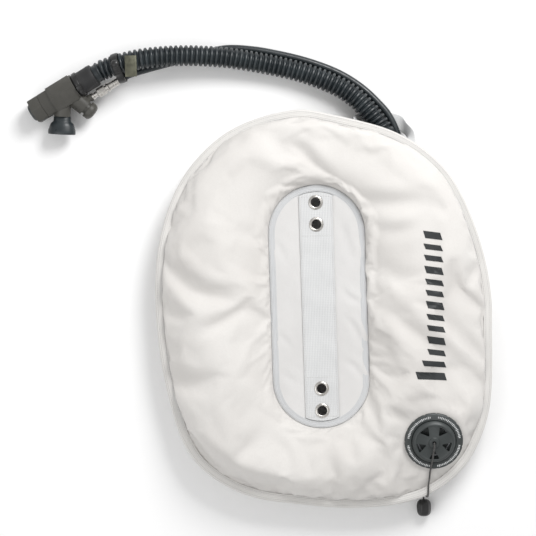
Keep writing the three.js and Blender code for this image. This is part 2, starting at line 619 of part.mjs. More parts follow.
function addInflateValve() {
  const stemEnd = HOUSING_END - 11;
  const head = HOUSING_END + INFLATE_STROKE + 1.2;
  const radius = HOUSING_RADIUS - 0.5;
  add('inflate_button', 'plastic', onValve(turned([
    [0, stemEnd], [9.6, stemEnd], [9.6, head], [radius, head], [radius, head + 7], [radius - 2.5, head + 11],
    [radius - 7, head + 12.8], [0, head + 13],
  ])), inflator);
  add('inflate_spring', 'steel', onValve(ring(5, 7.5, 15 + GAP, stemEnd - INFLATE_STROKE - GAP, 16)), inflator);
  add('lp_nipple', 'nickel', onLp(turned([
    [1.8, 14.3], [5.5, 14.3], [5.5, 18], [4.3, 18.6], [4.3, 23.6], [1.8, 23.6],
  ], 20)), inflator);
  add('coupling_body', 'nickel', onLp(turned([
    [0, 23.9], [5.2, 23.9], [5.2, 41], [7.3, 41], [7.3, 44], [0, 44],
  ], 20)), inflator);
  const sleeveEnd = 41 - GAP - SLEEVE_STROKE;
  add('coupling_sleeve', 'nickel', onLp(turned([
    [5.5, 24.6], [6.2, 24.6], [7.3, 26], [7.3, sleeveEnd], [5.5, sleeveEnd],
  ], 20)), inflator);
  add('hose_ferrule', 'nickel', onLp(turned([
    [0, 44.3], [5.9, 44.3], [5.9, 71], [5.4, 72], [0, 72],
  ], 20)), inflator);
}

function addInflatorHoseEnd() {
  add('inflator_cuff', 'rubber', alongX(ring(CUFF_INSIDE, CUFF_OUTSIDE, 2.6, CUFF_LENGTH + 3, 24)), inflator);
  const tieInside = CUFF_OUTSIDE + GAP;
  const band = alongX(ring(tieInside, tieInside + TIE_THICKNESS, 5, 5 + TIE_WIDTH, 24));
  add('inflator_tie', 'plastic', band, inflator);
}

// ---- Hoses, keeper and the fitting for the regulator's first stage ----------------------------------
function addHoses() {
  add('corrugated_hose', 'rubber', tube(HOSE_ROUTE, HOSE_DIAMETER, 10, 32));
  add('lp_hose', 'rubber', tube(LP_ROUTE, LP_DIAMETER, 8, 42));
  const [x, y, z] = LP_ROUTE[LP_ROUTE.length - 1];
  const downwards = (geometry) => geometry.rotateX(Math.PI / 2).translate(x, y, z);
  const fitting = join(rod(6.9, GAP, 22, 20),
    new THREE.CylinderGeometry(8.2, 8.2, 12, 6).rotateX(Math.PI / 2).translate(0, 0, 28), rod(4.76, 33, 42, 20));
  add('lp_fitting', 'nickel', downwards(fitting));
  add('fitting_o_ring', 'seal', downwards(ring(4.76 + GAP, 6.6, 34 + GAP, 36, 20)));
}

// A rubber band round both hoses with a knob on its outer side, and a small plate clipped on its face.
function addKeeper() {
  const curve = new THREE.CatmullRomCurve3(HOSE_ROUTE.map((point) => new THREE.Vector3(...point)));
  const centre = curve.getPointAt(0.075);
  const along = curve.getTangentAt(0.075);
  const ferrule = new THREE.Vector3(60, 0, 0).add(LP_OFFSET).applyMatrix4(inflator.matrix);
  const run = new THREE.Vector3(1, 0, 0).applyQuaternion(inflator.quaternion);
  ferrule.addScaledVector(run, centre.clone().sub(ferrule).dot(along) / run.dot(along));
  const side = ferrule.clone().sub(centre);
  const distance = side.length();
  side.normalize();
  const frame = new THREE.Matrix4().makeBasis(side, along.clone().cross(side), along).setPosition(centre);
  const band = (margin) => {
    const big = HOSE_DIAMETER / 2 + 0.5 + margin;
    const small = 5.9 + 2 + margin;
    const lean = Math.acos((big - small) / distance);
    const shape = new THREE.Shape();
    shape.absarc(0, 0, big, lean, 2 * Math.PI - lean);
    shape.absarc(distance, 0, small, -lean, lean);
    return shape.getPoints(10);
  };
  const strap = plate(band(1.7), 11, -5.5, [band(0)]);
  const knob = new THREE.SphereGeometry(8, 12, 8).scale(0.7, 1.1, 0.85).translate(-HOSE_DIAMETER / 2 - 3.4, 0, 0);
  const clear = rod(HOSE_DIAMETER / 2 + 0.5, -12, 12);
  add('hose_keeper', 'rubber', join(strap, cut(knob, clear)).applyMatrix4(frame));
  const top = centre.z + HOSE_DIAMETER / 2 + 0.5 + 1.7 + 2 * GAP;
  const clip = new THREE.Shape([[-9, -16], [9, -16], [9, 16], [-9, 16]].map(([x, y]) => new THREE.Vector2(x, y)));
  add('keeper_clip', 'steel', new THREE.ExtrudeGeometry(clip, { depth: 1.6, bevelEnabled: false })
    .translate(-270, 368.6, top));
}

addSkins();
addBinding();
addPanel();
addEyelets();
addHoseLoop();
addDumpValve();
addPull();
addElbow();
addInflatorBody();
addInflatorEnd();
addMouthpiece();
addInflateValve();
addInflatorHoseEnd();
addHoses();
addKeeper();

export default wing;
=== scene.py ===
"""A single-cylinder buoyancy wing: soft skins, dump valve, inflator and hoses, made round its frame."""
import json
import math
import bmesh
import bpy
import numpy as np
from bpy.props import FloatProperty, FloatVectorProperty, PointerProperty
from mathutils import Matrix, Vector
from mathutils.geometry import convex_hull_2d


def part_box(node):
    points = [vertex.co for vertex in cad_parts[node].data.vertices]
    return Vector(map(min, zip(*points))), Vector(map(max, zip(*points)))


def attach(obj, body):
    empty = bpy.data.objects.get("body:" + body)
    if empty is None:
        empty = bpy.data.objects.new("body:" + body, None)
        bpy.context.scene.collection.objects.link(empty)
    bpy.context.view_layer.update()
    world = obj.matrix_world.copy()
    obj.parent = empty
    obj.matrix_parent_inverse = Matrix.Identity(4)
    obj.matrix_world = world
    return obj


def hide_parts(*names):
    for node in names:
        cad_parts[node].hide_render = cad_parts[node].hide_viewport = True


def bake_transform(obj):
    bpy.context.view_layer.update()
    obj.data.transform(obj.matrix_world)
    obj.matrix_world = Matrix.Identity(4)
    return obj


bl_info = {
    "name": "Buoyancy Wing",
    "version": (1, 0, 0),
    "blender": (4, 5, 0),
    "location": "3D View > Sidebar > Wing",
    "description": "Builds a single-cylinder buoyancy wing with its valve, hoses and inflator",
    "category": "Object",
}

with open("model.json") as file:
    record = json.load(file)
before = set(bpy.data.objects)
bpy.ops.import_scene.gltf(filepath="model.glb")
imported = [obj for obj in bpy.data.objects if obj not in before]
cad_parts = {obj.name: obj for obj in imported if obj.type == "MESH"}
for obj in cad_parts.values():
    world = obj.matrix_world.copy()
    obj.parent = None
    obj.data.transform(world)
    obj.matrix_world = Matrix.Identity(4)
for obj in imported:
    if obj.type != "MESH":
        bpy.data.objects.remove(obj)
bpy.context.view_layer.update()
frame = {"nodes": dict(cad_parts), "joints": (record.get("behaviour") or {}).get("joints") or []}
JOINTS = {joint["name"]: joint for joint in frame["joints"]}


def box_mm(name):
    """The two corners of a node's box, in millimetres."""
    return [Vector(corner) * 1000 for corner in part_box(name)]


# ---- Levels and places, in millimetres unless a name says otherwise ------------------------------
PANEL_LOW, PANEL_HIGH = box_mm("centre_panel")
TAPE_LOW, TAPE_HIGH = box_mm("front_panel_tape")
REAR_TAPE_LOW = box_mm("rear_panel_tape")[0].z
WEBBING_LOW, WEBBING_HIGH = box_mm("centre_webbing")
BINDING_LOW, BINDING_HIGH = box_mm("edge_binding")
SEAM_Z = (BINDING_LOW.z + BINDING_HIGH.z) / 2
TABLE_Z = box_mm("rear_shell")[0].z
HEM_RADIUS = PANEL_HIGH.x
HEM_STRAIGHT = PANEL_HIGH.y - HEM_RADIUS
FRONT_BULGE = 42
REAR_BULGE = 45
BINDING_WIDTH = 13
TAPE_WIDTH = 10
FULL_CHORD = 150
POCKET_DEPTH = 4.5
POCKET_SLOPE = 0.9
ELBOW_POCKET = 66
GAP = 0.3
VALVE_PLACE = Vector(JOINTS["poppet_lift"]["pos_m"]) * 1000
VALVE_AXIS = Vector(JOINTS["poppet_lift"]["axis"])
VALVE_TILT = math.atan2(-VALVE_AXIS.y, VALVE_AXIS.z)
VALVE_RADIUS = 43.5
CUFF_INSIDE = 13.3
CUFF_OUTSIDE = 17.5
ELBOW_PLACE = Vector((115, 185, 0))
ELBOW_TURN = math.radians(5)
ELBOW_AXIS_Z = box_mm("elbow_cuff")[0].z + CUFF_OUTSIDE
HOSE_DIAMETER = 31.5
LP_DIAMETER = 11
CORD_DIAMETER = 2.5

INFLATOR_ROOT = Vector((-357.5, 342.5, -19))
INFLATOR_RUN = Vector(JOINTS["deflate_press"]["axis"])
VALVE_WAY = Vector((0.32, -0.925, -0.2)).normalized()
VALVE_ROOT = Vector((-14, 0, 0))
ORAL_WAY = Vector((-0.56, -0.83, -0.06)).normalized()
ORAL_ROOT = Vector((-20.6, 0, 0))
LP_OFFSET = Vector((0, -25.2, -9))

# Centre lines of the hoses and the cord.
HOSE_ROUTE = [
    (-325.9, 360, -15.2), (-314, 366.5, -13.8), (-297, 371.6, -11.5), (-278, 376.6, -9.2),
    (-255, 380.6, -8), (-228, 383.2, -9.6), (-193, 384.2, -14), (-163, 383.2, -18.6),
    (-126, 380, -23.8), (-88, 373.4, -28.4), (-58, 367, -31), (-23, 358, -32.2), (2, 349.5, -32.3),
    (28, 338.5, -32.2), (50, 326.5, -31.8), (69, 311.5, -31), (84, 295, -30.2), (96, 279, -29.8),
    (104.5, 266, -29.2), (108.5, 258.5, -28.7), (109.9, 243.2, -28.7),
]
LP_ROUTE = [
    (-281.5, 355.6, -20.4), (-276.8, 358.1, -20.1), (-270, 360.6, -22), (-260, 363.9, -27),
    (-248, 367.8, -34), (-234, 372, -40), (-214, 377, -42.6), (-188, 383, -42.7), (-160, 390, -42.7),
    (-128, 396, -42.7), (-85, 392.6, -42.7), (-52, 385.8, -42.7), (-17, 376.6, -42.7),
    (10, 367.4, -42.7), (38, 355.4, -42.7), (62, 341.2, -42.6), (83, 324.6, -42), (99.6, 307.5, -41),
    (114, 290, -40.6), (124.2, 270, -40.6), (131.2, 247, -41.8), (138.5, 223, -42.7),
    (141.5, 200, -42.7), (142, 181, -42.7), (137, 163, -42.7), (125, 149, -42.7), (108, 140, -42.7),
    (89, 134, -42.7), (70, 125, -42.4), (53, 111, -41.6), (41, 92, -40.6), (35, 73, -40.1),
    (33.1, 58, -39.9), (33, 48, -39.9),
]
PULL_ROUTE = [
    (163, -207.1, 38), (162.9, -208.6, 40.4), (162.6, -212, 41.4), (162.2, -216, 39.6),
    (161.5, -221, 36.4), (160.8, -227, 33.8), (159.9, -233, 32.1), (159.2, -237, 30.2),
    (158.6, -241, 26), (157.9, -245, 23.4), (157.4, -249, 18), (157, -253, 15.5), (156.4, -259, 13.8),
    (156, -263, 11.6), (155.6, -268, 6.2), (155.2, -272.5, 2.8), (154.9, -278, 1.7), (154.5, -285, 1.9),
    (154, -290.2, -1.8), (153.3, -291.4, -8), (152.2, -290.8, -16), (151.2, -290.8, -26),
    (150.7, -292, -33.5), (150.5, -295, -36.8), (150.4, -298.2, -37.2),
]

# Creases in the front skin: line, depth, half width and how much the skin stands up beside it.
CREASES = [
    ([(-226, 82), (-197, 46), (-168, 25), (-113, 16)], 11, 13, 0.5),
    ([(-132, 209), (-153, 160), (-194, 131), (-220, 112)], 5, 14, 0.4),
    ([(-60, 252), (-46, 231), (-26, 233), (-7, 210), (13, 189)], 9, 12, 0.4),
    ([(34, 232), (88, 222), (140, 214)], 5, 26, 0.1),
    ([(71, 153), (111, 148), (151, 145), (166, 135)], 8, 12, 0.5),
    ([(84, 112), (120, 108), (152, 118)], 5, 9, 0.4),
    ([(188, 59), (212, 13), (237, -13), (240, -43)], 8, 9, 0.5),
    ([(77, 12), (125, -29), (160, -60), (194, -82), (237, -133)], 9, 12, 0.6),
    ([(80, 60), (128, 34), (172, 22)], 4, 12, 0.3),
    ([(185, -26), (224, -68), (238, -98)], 7, 9, 0.5),
    ([(182, -111), (207, -152), (212, -172)], 7, 9, 0.4),
    ([(91, -158), (112, -166), (126, -175)], 5, 8, 0.5),
    ([(-214, -163), (-195, -199), (-161, -225), (-122, -252), (-62, -273)], 13, 15, 0.45),
    ([(-75, -188), (-55, -214), (-57, -248)], 6, 9, 0.5),
    ([(5, -190), (11, -241), (12, -282)], 7, 8, 0.6),
    ([(56, -172), (74, -207), (84, -233), (78, -268)], 6, 9, 0.5),
    ([(67, -128), (76, -168), (88, -193)], 6, 7, 0.5),
    ([(-227, -93), (-187, -109), (-147, -101)], 7, 13, 0.4),
    ([(-170, -34), (-108, -2), (-85, -18)], 5, 10, 0.5),
    ([(-136, -226), (-110, -201), (-84, -178)], 5, 9, 0.5),
    ([(-120, 114), (-75, 107)], 4, 9, 0.3),
    ([(-232, 150), (-205, 175)], 5, 8, 0.3),
    ([(-175, 232), (-160, 208)], 4, 8, 0.3),
    ([(-120, 262), (-104, 240)], 5, 7, 0.3),
    ([(-88, 275), (-76, 256)], 5, 6, 0.3),
]


# ---- Shaping -------------------------------------------------------------------------------------
def lengths_along(line):
    """How far along a line each of its points lies."""
    return np.concatenate([[0], np.cumsum(np.linalg.norm(np.diff(line, axis=0), axis=1))])


def resampled(line, count):
    """A line cut into equal parts."""
    along = lengths_along(line)
    places = np.linspace(0, along[-1], count + 1)
    return np.stack([np.interp(places, along, line[:, k]) for k in range(line.shape[1])], axis=1)


def smooth_line(points, step, closed=False):
    """The points of a centripetal Catmull-Rom curve, at equal steps along it."""
    given = [np.array(point, float) for point in points]
    if closed:
        given = [given[-1], *given, given[0], given[1]]
    else:
        given = [2 * given[0] - given[1], *given, 2 * given[-1] - given[-2]]
    fine = []
    for a, b, c, d in zip(given, given[1:], given[2:], given[3:]):
        t1 = np.linalg.norm(b - a) ** 0.5
        t2 = t1 + np.linalg.norm(c - b) ** 0.5
        t3 = t2 + np.linalg.norm(d - c) ** 0.5
        for t in np.linspace(t1, t2, 24, endpoint=False):
            first = (a * (t1 - t) + b * t) / t1
            second = (b * (t2 - t) + c * (t - t1)) / (t2 - t1)
            third = (c * (t3 - t) + d * (t - t2)) / (t3 - t2)
            left = (first * (t2 - t) + second * t) / t2
            right = (second * (t3 - t) + third * (t - t1)) / (t3 - t1)
            fine.append((left * (t2 - t) + right * (t - t1)) / (t2 - t1))
    fine.append(given[-2])
    fine = np.array(fine)
    length = lengths_along(fine)[-1]
    return resampled(fine, max(2, round(length / step))), length


def grid_form(points, uvs=None, wrap_u=False, wrap_v=False):
    """A sheet from a table of points; it closes on itself where its first and last rows meet."""
    if uvs is None:
        uvs = points[..., :2] / 1000
    rows, columns = points.shape[:2]
    form = bmesh.new()
    layer = form.loops.layers.uv.new("surface")
    bmesh.ops.create_grid(form, x_segments=columns - 1, y_segments=rows - 1, size=1)
    for vert in form.verts:
        i = round((vert.co.y + 1) / 2 * (rows - 1))
        j = round((vert.co.x + 1) / 2 * (columns - 1))
        vert.co = points[i, j]
        for loop in vert.link_loops:
            loop[layer].uv = uvs[i, j]
    if wrap_u or wrap_v:
        bmesh.ops.remove_doubles(form, verts=form.verts, dist=0.01)
    if wrap_u and wrap_v:
        bmesh.ops.recalc_face_normals(form, faces=form.faces)
    return form


def capped(form):
    """Fills the form's open ends and turns its faces outwards."""
    rims = [edge for edge in form.edges if edge.is_boundary]
    bmesh.ops.holes_fill(form, edges=rims, sides=0)
    bmesh.ops.recalc_face_normals(form, faces=form.faces)
    return form


def turned(profile, steps=64):
    """A turned form about +Z from (radius, height) pairs, closed on the axis or on itself."""
    form = bmesh.new()
    verts = [form.verts.new((radius, 0, height)) for radius, height in profile]
    edges = [form.edges.new(pair) for pair in zip(verts, verts[1:])]
    if profile[0][0] or profile[-1][0]:
        edges.append(form.edges.new((verts[-1], verts[0])))
    bmesh.ops.spin(form, geom=verts + edges, cent=(0, 0, 0), axis=(0, 0, 1), angle=math.tau, steps=steps,
                   use_merge=True, use_duplicate=False)
    bmesh.ops.remove_doubles(form, verts=form.verts, dist=1e-3)
    bmesh.ops.recalc_face_normals(form, faces=form.faces)
    return form


def softened(form, width, segments=2, angle=28):
    """Rounds the form's sharp edges."""
    sharp = [edge for edge in form.edges
             if len(edge.link_faces) == 2 and edge.calc_face_angle() > math.radians(angle)]
    bmesh.ops.bevel(form, geom=sharp, offset=width, segments=segments, profile=0.5, affect="EDGES",
                    clamp_overlap=True, material=-1)
    return form


def bar(sides, radius, start, end, turn=0.0):
    """A prism about +Z with a number of sides."""
    form = bmesh.new()
    place = Matrix.Translation((0, 0, (start + end) / 2)) @ Matrix.Rotation(turn, 4, "Z")
    bmesh.ops.create_cone(form, cap_ends=True, segments=sides, radius1=radius, radius2=radius,
                          depth=end - start, matrix=place)
    return form


def block(size, centre, turn=0.0):
    form = bmesh.new()
    bmesh.ops.create_cube(form, size=1, matrix=Matrix.Translation(centre) @ Matrix.Rotation(turn, 4, "Z")
                          @ Matrix.Diagonal((*size, 1)))
    return form


def turn_z(degrees):
    return Matrix.Rotation(math.radians(degrees), 4, "Z")


def helix(radius, angle, start, rise, count):
    """Points up a coil about +Z, one every angle."""
    return [(radius * math.cos(k * angle), radius * math.sin(k * angle), start + rise * k / count)
            for k in range(count + 1)]


def moved(form, place):
    bmesh.ops.transform(form, matrix=place, verts=form.verts)
    return form


def gathered(*forms):
    """Several forms in one."""
    whole = forms[0]
    for form in forms[1:]:
        spare = bpy.data.meshes.new("spare")
        form.to_mesh(spare)
        form.free()
        whole.from_mesh(spare)
        bpy.data.meshes.remove(spare)
    return whole


def repeated(form, places):
    """Copies of a small form at many places."""
    mesh = bpy.data.meshes.new("spare")
    form.to_mesh(mesh)
    form.free()
    whole = bmesh.new()
    for place in places:
        copy = mesh.copy()
        copy.transform(place)
        whole.from_mesh(copy)
        bpy.data.meshes.remove(copy)
    bpy.data.meshes.remove(mesh)
    return whole


def linked(name, data):
    thing = bpy.data.objects.new(name, data)
    bpy.context.scene.collection.objects.link(thing)
    return thing


def loose_object(form, name="tool"):
    mesh = bpy.data.meshes.new(name)
    form.to_mesh(mesh)
    form.free()
    return linked(name, mesh)


def carved(form, *steps):
    """Joins and cuts: each step is an operation and a form, done by exact booleans."""
    target = loose_object(form)
    for operation, tool_form in steps:
        tool = loose_object(tool_form)
        change = target.modifiers.new("change", "BOOLEAN")
        change.operation = operation
        change.solver = "EXACT"
        change.object = tool
        depsgraph = bpy.context.evaluated_depsgraph_get()
        mesh = bpy.data.meshes.new_from_object(target.evaluated_get(depsgraph))
        target.modifiers.clear()
        target.data = mesh
        bpy.data.objects.remove(tool)
    result = bmesh.new()
    result.from_mesh(target.data)
    bpy.data.objects.remove(target)
    bmesh.ops.remove_doubles(result, verts=result.verts, dist=1e-3)
    return result


def tube_form(route, radius, sides=20, twist=0.0):
    """A round tube along a route; radius is one number, or one for each point of the route."""
    route = np.asarray(route, float)
    radii = np.broadcast_to(radius, len(route))
    tangents = np.gradient(route, axis=0)
    tangents /= np.linalg.norm(tangents, axis=1)[:, None]
    along = lengths_along(route)
    side = np.cross(tangents[0], [0, 0, 1.0])
    if np.linalg.norm(side) < 0.2:
        side = np.cross(tangents[0], [1.0, 0, 0])
    side /= np.linalg.norm(side)
    angles = np.linspace(0, math.tau, sides + 1)
    points = np.zeros((len(route), sides + 1, 3))
    uvs = np.zeros((len(route), sides + 1, 2))
    for k, (centre, tangent) in enumerate(zip(route, tangents)):
        side = side - tangent * side.dot(tangent)
        side /= np.linalg.norm(side)
        other = np.cross(tangent, side)
        turn = angles + twist * along[k]
        points[k] = centre + radii[k] * (np.cos(turn)[:, None] * side + np.sin(turn)[:, None] * other)
        uvs[k, :, 0] = along[k] / 1000
        uvs[k, :, 1] = angles / math.tau
    form = grid_form(points, uvs, wrap_u=True)
    return capped(form)


def aim(direction, root):
    """A place whose +Z runs along a direction and whose +Y stays as near up as it can."""
    side = Vector((0, 0, 1)).cross(direction).normalized()
    up = direction.cross(side)
    place = Matrix((side, up, direction)).transposed().to_4x4()
    place.translation = root
    return place


def inflator_place():
    up = Vector((0, 0, 1))
    across = up.cross(INFLATOR_RUN).normalized()
    rise = INFLATOR_RUN.cross(across)
    place = Matrix((INFLATOR_RUN, across, rise)).transposed().to_4x4()
    place.translation = INFLATOR_ROOT
    return place


ALONG_X = Matrix.Rotation(math.pi / 2, 4, "Y")
INFLATOR = inflator_place()
ON_AXIS = INFLATOR @ ALONG_X
ON_VALVE = INFLATOR @ aim(VALVE_WAY, VALVE_ROOT)
ON_ORAL = INFLATOR @ aim(ORAL_WAY, ORAL_ROOT)
ON_LP = INFLATOR @ Matrix.Translation(LP_OFFSET) @ ALONG_X
VALVE = Matrix.Translation(VALVE_PLACE) @ Matrix.Rotation(VALVE_TILT, 4, "X")
ELBOW = Matrix.Translation(ELBOW_PLACE) @ Matrix.Rotation(ELBOW_TURN, 4, "Z")
ELBOW_ALONG = ELBOW @ Matrix.Translation((0, 0, ELBOW_AXIS_Z)) @ Matrix.Rotation(-math.pi / 2, 4, "X")
METRES = Matrix.Scale(0.001, 4)


def piece(name, form, finish, body="root", place=None, stands_for=None, smooth_angle=35):
    """Makes a form a finished piece, in metres and at its place, riding on its body if it has one."""
    thing = loose_object(moved(form, METRES @ (place or Matrix.Identity(4))), name)
    mesh = thing.data
    mesh.polygons.foreach_set("use_smooth", [True] * len(mesh.polygons))
    mesh.set_sharp_from_angle(angle=math.radians(smooth_angle))
    mesh.materials.append(finished(finish))
    if body:
        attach(thing, body)
    if stands_for:
        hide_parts(*([stands_for] if isinstance(stands_for, str) else stands_for))
    return thing


# ---- Finishes ------------------------------------------------------------------------------------
class Finish:
    """A procedural material, built up from colour, roughness and layered relief."""

    def __init__(self, name, colour, roughness, metallic=0.0, **shader):
        self.material = bpy.data.materials.new(name)
        self.material.use_nodes = True
        self.tree = self.material.node_tree
        self.surface = next(node for node in self.tree.nodes if node.type == "BSDF_PRINCIPLED")
        self.surface.inputs["Base Color"].default_value = (*colour, 1)
        self.surface.inputs["Roughness"].default_value = roughness
        self.surface.inputs["Metallic"].default_value = metallic
        for socket, value in shader.items():
            self.surface.inputs[socket.replace("_", " ")].default_value = value
        self.colour = (*colour, 1)
        self.relief = None
        self.texture_coordinate = self.tree.nodes.new("ShaderNodeTexCoord")

    def link(self, source, target):
        self.tree.links.new(source, target)

    def node(self, kind, **values):
        node = self.tree.nodes.new(kind)
        for socket, value in values.items():
            node.inputs[socket.replace("_", " ")].default_value = value
        return node

    def coordinates(self, kind="Object", scale=(1, 1, 1)):
        mapping = self.node("ShaderNodeMapping", Scale=scale)
        self.link(self.texture_coordinate.outputs[kind], mapping.inputs["Vector"])
        return mapping.outputs["Vector"]

    def noise(self, scale, detail=3, stretch=(1, 1, 1)):
        node = self.node("ShaderNodeTexNoise", Scale=scale, Detail=detail)
        self.link(self.coordinates("Object", stretch), node.inputs["Vector"])
        return node.outputs["Fac"]

    def bands(self, pitch, direction="X", distortion=0.0):
        """Even stripes, one every pitch metres."""
        node = self.node("ShaderNodeTexWave", Scale=math.tau / 20 / pitch, Distortion=distortion)
        node.bands_direction = direction
        self.link(self.coordinates("UV"), node.inputs["Vector"])
        return node.outputs["Fac"]

    def spread(self, value, low, high, dark=0.0, bright=1.0):
        """Maps a texture's range to another."""
        node = self.node("ShaderNodeMapRange", From_Min=low, From_Max=high, To_Min=dark, To_Max=bright)
        self.link(value, node.inputs["Value"])
        return node.outputs["Result"]

    def tint(self, value, other):
        """Mixes another colour in where the value is high."""
        node = self.tree.nodes.new("ShaderNodeMix")
        node.data_type = "RGBA"
        colours = [socket for socket in node.inputs if socket.type == "RGBA"]
        result = next(socket for socket in node.outputs if socket.type == "RGBA")
        base = self.surface.inputs["Base Color"]
        if base.is_linked:
            self.link(base.links[0].from_socket, colours[0])
        else:
            colours[0].default_value = self.colour
        colours[1].default_value = (*other, 1)
        self.link(value, node.inputs[0])
        self.link(result, base)
        return self

    def mottled(self, other, scale, detail, low, high, share):
        """Mixes another colour in by a noise."""
        return self.tint(self.spread(self.noise(scale, detail), low, high, 0, share), other)

    def gloss(self, value, low, high):
        """Roughness that follows a texture."""
        self.link(self.spread(value, 0.3, 0.7, low, high), self.surface.inputs["Roughness"])
        return self

    def raised(self, value, height, strength=1.0):
        """Adds a layer of relief; height is in metres."""
        node = self.node("ShaderNodeBump", Strength=strength, Distance=height)
        self.link(value, node.inputs["Height"])
        if self.relief is not None:
            self.link(self.relief, node.inputs["Normal"])
        self.relief = node.outputs["Normal"]
        self.link(self.relief, self.surface.inputs["Normal"])
        return self


def weave_finish(name, colour, shade, pitch, height, roughness=0.85):
    """Plain woven cloth on the surface's own coordinates."""
    finish = Finish(name, colour, roughness, Sheen_Weight=0.25, Sheen_Roughness=0.5,
                    Specular_IOR_Level=0.25)
    finish.mottled(shade, 9, 4, 0.35, 0.7, 0.55)
    finish.mottled(shade, 420, 2, 0.45, 0.75, 0.18)
    finish.gloss(finish.noise(60, 3), roughness - 0.08, roughness + 0.06)
    finish.raised(finish.bands(pitch, "X"), height).raised(finish.bands(pitch, "Y"), height)
    finish.raised(finish.noise(170, 3), 0.0005, 0.35)
    return finish.material


def ribbed_finish(name, colour, shade, rib_pitch, cross_pitch):
    """Ribbed tape or webbing: cords along it and picks across it, with painted shade in the grooves between
    them.
    """
    finish = Finish(name, colour, 0.8, Sheen_Weight=0.3, Sheen_Roughness=0.45, Specular_IOR_Level=0.3)
    ribs = finish.bands(rib_pitch, "Y")
    picks = finish.bands(cross_pitch, "X")
    # Painted shade: the shade colour is mixed into the low parts of the ribs and picks, the same bands that
    # make the relief below, so the grooves read darker
    finish.tint(finish.spread(ribs, 0.0, 0.5, 0.55, 0), shade)
    finish.tint(finish.spread(picks, 0.0, 0.4, 0.25, 0), shade)
    # A random darker tone of the yarn, spread by noise
    finish.mottled(shade, 30, 3, 0.4, 0.75, 0.35)
    finish.raised(ribs, 0.0004, 0.8).raised(picks, 0.00015, 0.6).raised(finish.noise(900, 2), 0.0001, 0.4)
    return finish.material


def plastic_finish(name, colour, worn, roughness, grain=900):
    """Moulded plastic with a fine spark-eroded grain and slightly paler, smoother wear."""
    finish = Finish(name, colour, roughness, Specular_IOR_Level=0.45)
    finish.mottled(worn, 26, 5, 0.5, 0.8, 0.6)
    finish.mottled(worn, grain, 2, 0.55, 0.8, 0.25)
    finish.gloss(finish.noise(90, 4), roughness - 0.08, roughness + 0.1)
    finish.raised(finish.noise(grain, 3), 0.00012, 0.35).raised(finish.noise(45, 2), 0.0006, 0.12)
    return finish.material


def rubber_finish(name, colour, bloom, roughness):
    finish = Finish(name, colour, roughness, Specular_IOR_Level=0.5)
    finish.mottled(bloom, 38, 5, 0.45, 0.8, 0.6)
    finish.gloss(finish.noise(120, 4), roughness - 0.1, roughness + 0.12)
    finish.raised(finish.noise(700, 3), 0.0001, 0.4).raised(finish.noise(120, 3), 0.0002, 0.2)
    return finish.material


def metal_finish(name, colour, dull, roughness, brushed=False):
    finish = Finish(name, colour, roughness, 1.0)
    finish.mottled(dull, 140, 5, 0.45, 0.75, 0.7)
    stretch = (40, 1, 1) if brushed else (1, 1, 1)
    streaks = finish.noise(80 if brushed else 240, 4, stretch=stretch)
    finish.gloss(streaks, roughness - 0.1, roughness + 0.14)
    finish.raised(finish.noise(500, 3, stretch=stretch), 0.0001, 0.3)
    return finish.material


def cord_finish(name, colour, shade):
    """Braided cord: two sets of strands that cross."""
    finish = Finish(name, colour, 0.75, Sheen_Weight=0.3)
    finish.tint(finish.spread(finish.bands(0.0011, "X", distortion=1.5), 0.2, 0.8, 0.0, 0.7), shade)
    finish.raised(finish.bands(0.0011, "X", distortion=1.5), 0.0003)
    finish.raised(finish.noise(1200, 2), 0.0001, 0.4)
    return finish.material


def make_finishes():
    fabric = tuple(bpy.context.scene.wing_sizes.fabric_colour)
    return {
        "fabric": weave_finish("wing_fabric", fabric, (0.60, 0.575, 0.55), 0.0011, 0.00006),
        "panel": weave_finish("panel_mesh", (0.70, 0.69, 0.68), (0.6, 0.59, 0.58), 0.0016, 0.00016),
        "cell": cell_finish(),
        # For the tape, binding and webbing the second colour is both a random yarn tone and the painted shade
        # in their rib grooves
        "tape": ribbed_finish("panel_tape", (0.62, 0.63, 0.64), (0.50, 0.51, 0.52), 0.0022, 0.0012),
        "binding": ribbed_finish("binding_tape", (0.72, 0.705, 0.68), (0.63, 0.615, 0.595),
                                 0.0026, 0.0013),
        "webbing": ribbed_finish("webbing", (0.69, 0.695, 0.695), (0.52, 0.525, 0.53),
                                 0.0024, 0.0026),
        "thread": thread_finish(),
        "nickel": metal_finish("nickel", (0.66, 0.64, 0.61), (0.38, 0.36, 0.33), 0.26),
        "steel": metal_finish("spring_steel", (0.42, 0.41, 0.36), (0.2, 0.2, 0.17), 0.38, brushed=True),
        "valve": plastic_finish("valve_plastic", (0.042, 0.048, 0.048), (0.10, 0.11, 0.11), 0.42),
        "mark": plastic_finish("mark_print", (0.72, 0.73, 0.73), (0.5, 0.51, 0.51), 0.5),
        "bars": plastic_finish("bar_print", (0.022, 0.025, 0.026), (0.05, 0.052, 0.055), 0.55),
        "inflator": plastic_finish("inflator_plastic", (0.06, 0.058, 0.051), (0.12, 0.115, 0.105), 0.44),
        "tie": plastic_finish("tie_nylon", (0.018, 0.018, 0.018), (0.04, 0.04, 0.04), 0.35),
        "rubber": rubber_finish("hose_rubber", (0.014, 0.019, 0.022), (0.04, 0.05, 0.055), 0.36),
        "seal": rubber_finish("seal_rubber", (0.014, 0.014, 0.015), (0.03, 0.03, 0.03), 0.6),
        "clip": metal_finish("clip_plate", (0.16, 0.16, 0.12), (0.09, 0.09, 0.07), 0.4),
        "cord": cord_finish("pull_cord", (0.075, 0.07, 0.066), (0.02, 0.02, 0.02)),
    }


def cell_finish():
    finish = Finish("bladder_film", (0.58, 0.61, 0.63), 0.32, Specular_IOR_Level=0.6)
    finish.mottled((0.48, 0.52, 0.55), 20, 4, 0.4, 0.7, 0.5)
    finish.raised(finish.noise(60, 4), 0.001, 0.4)
    return finish.material


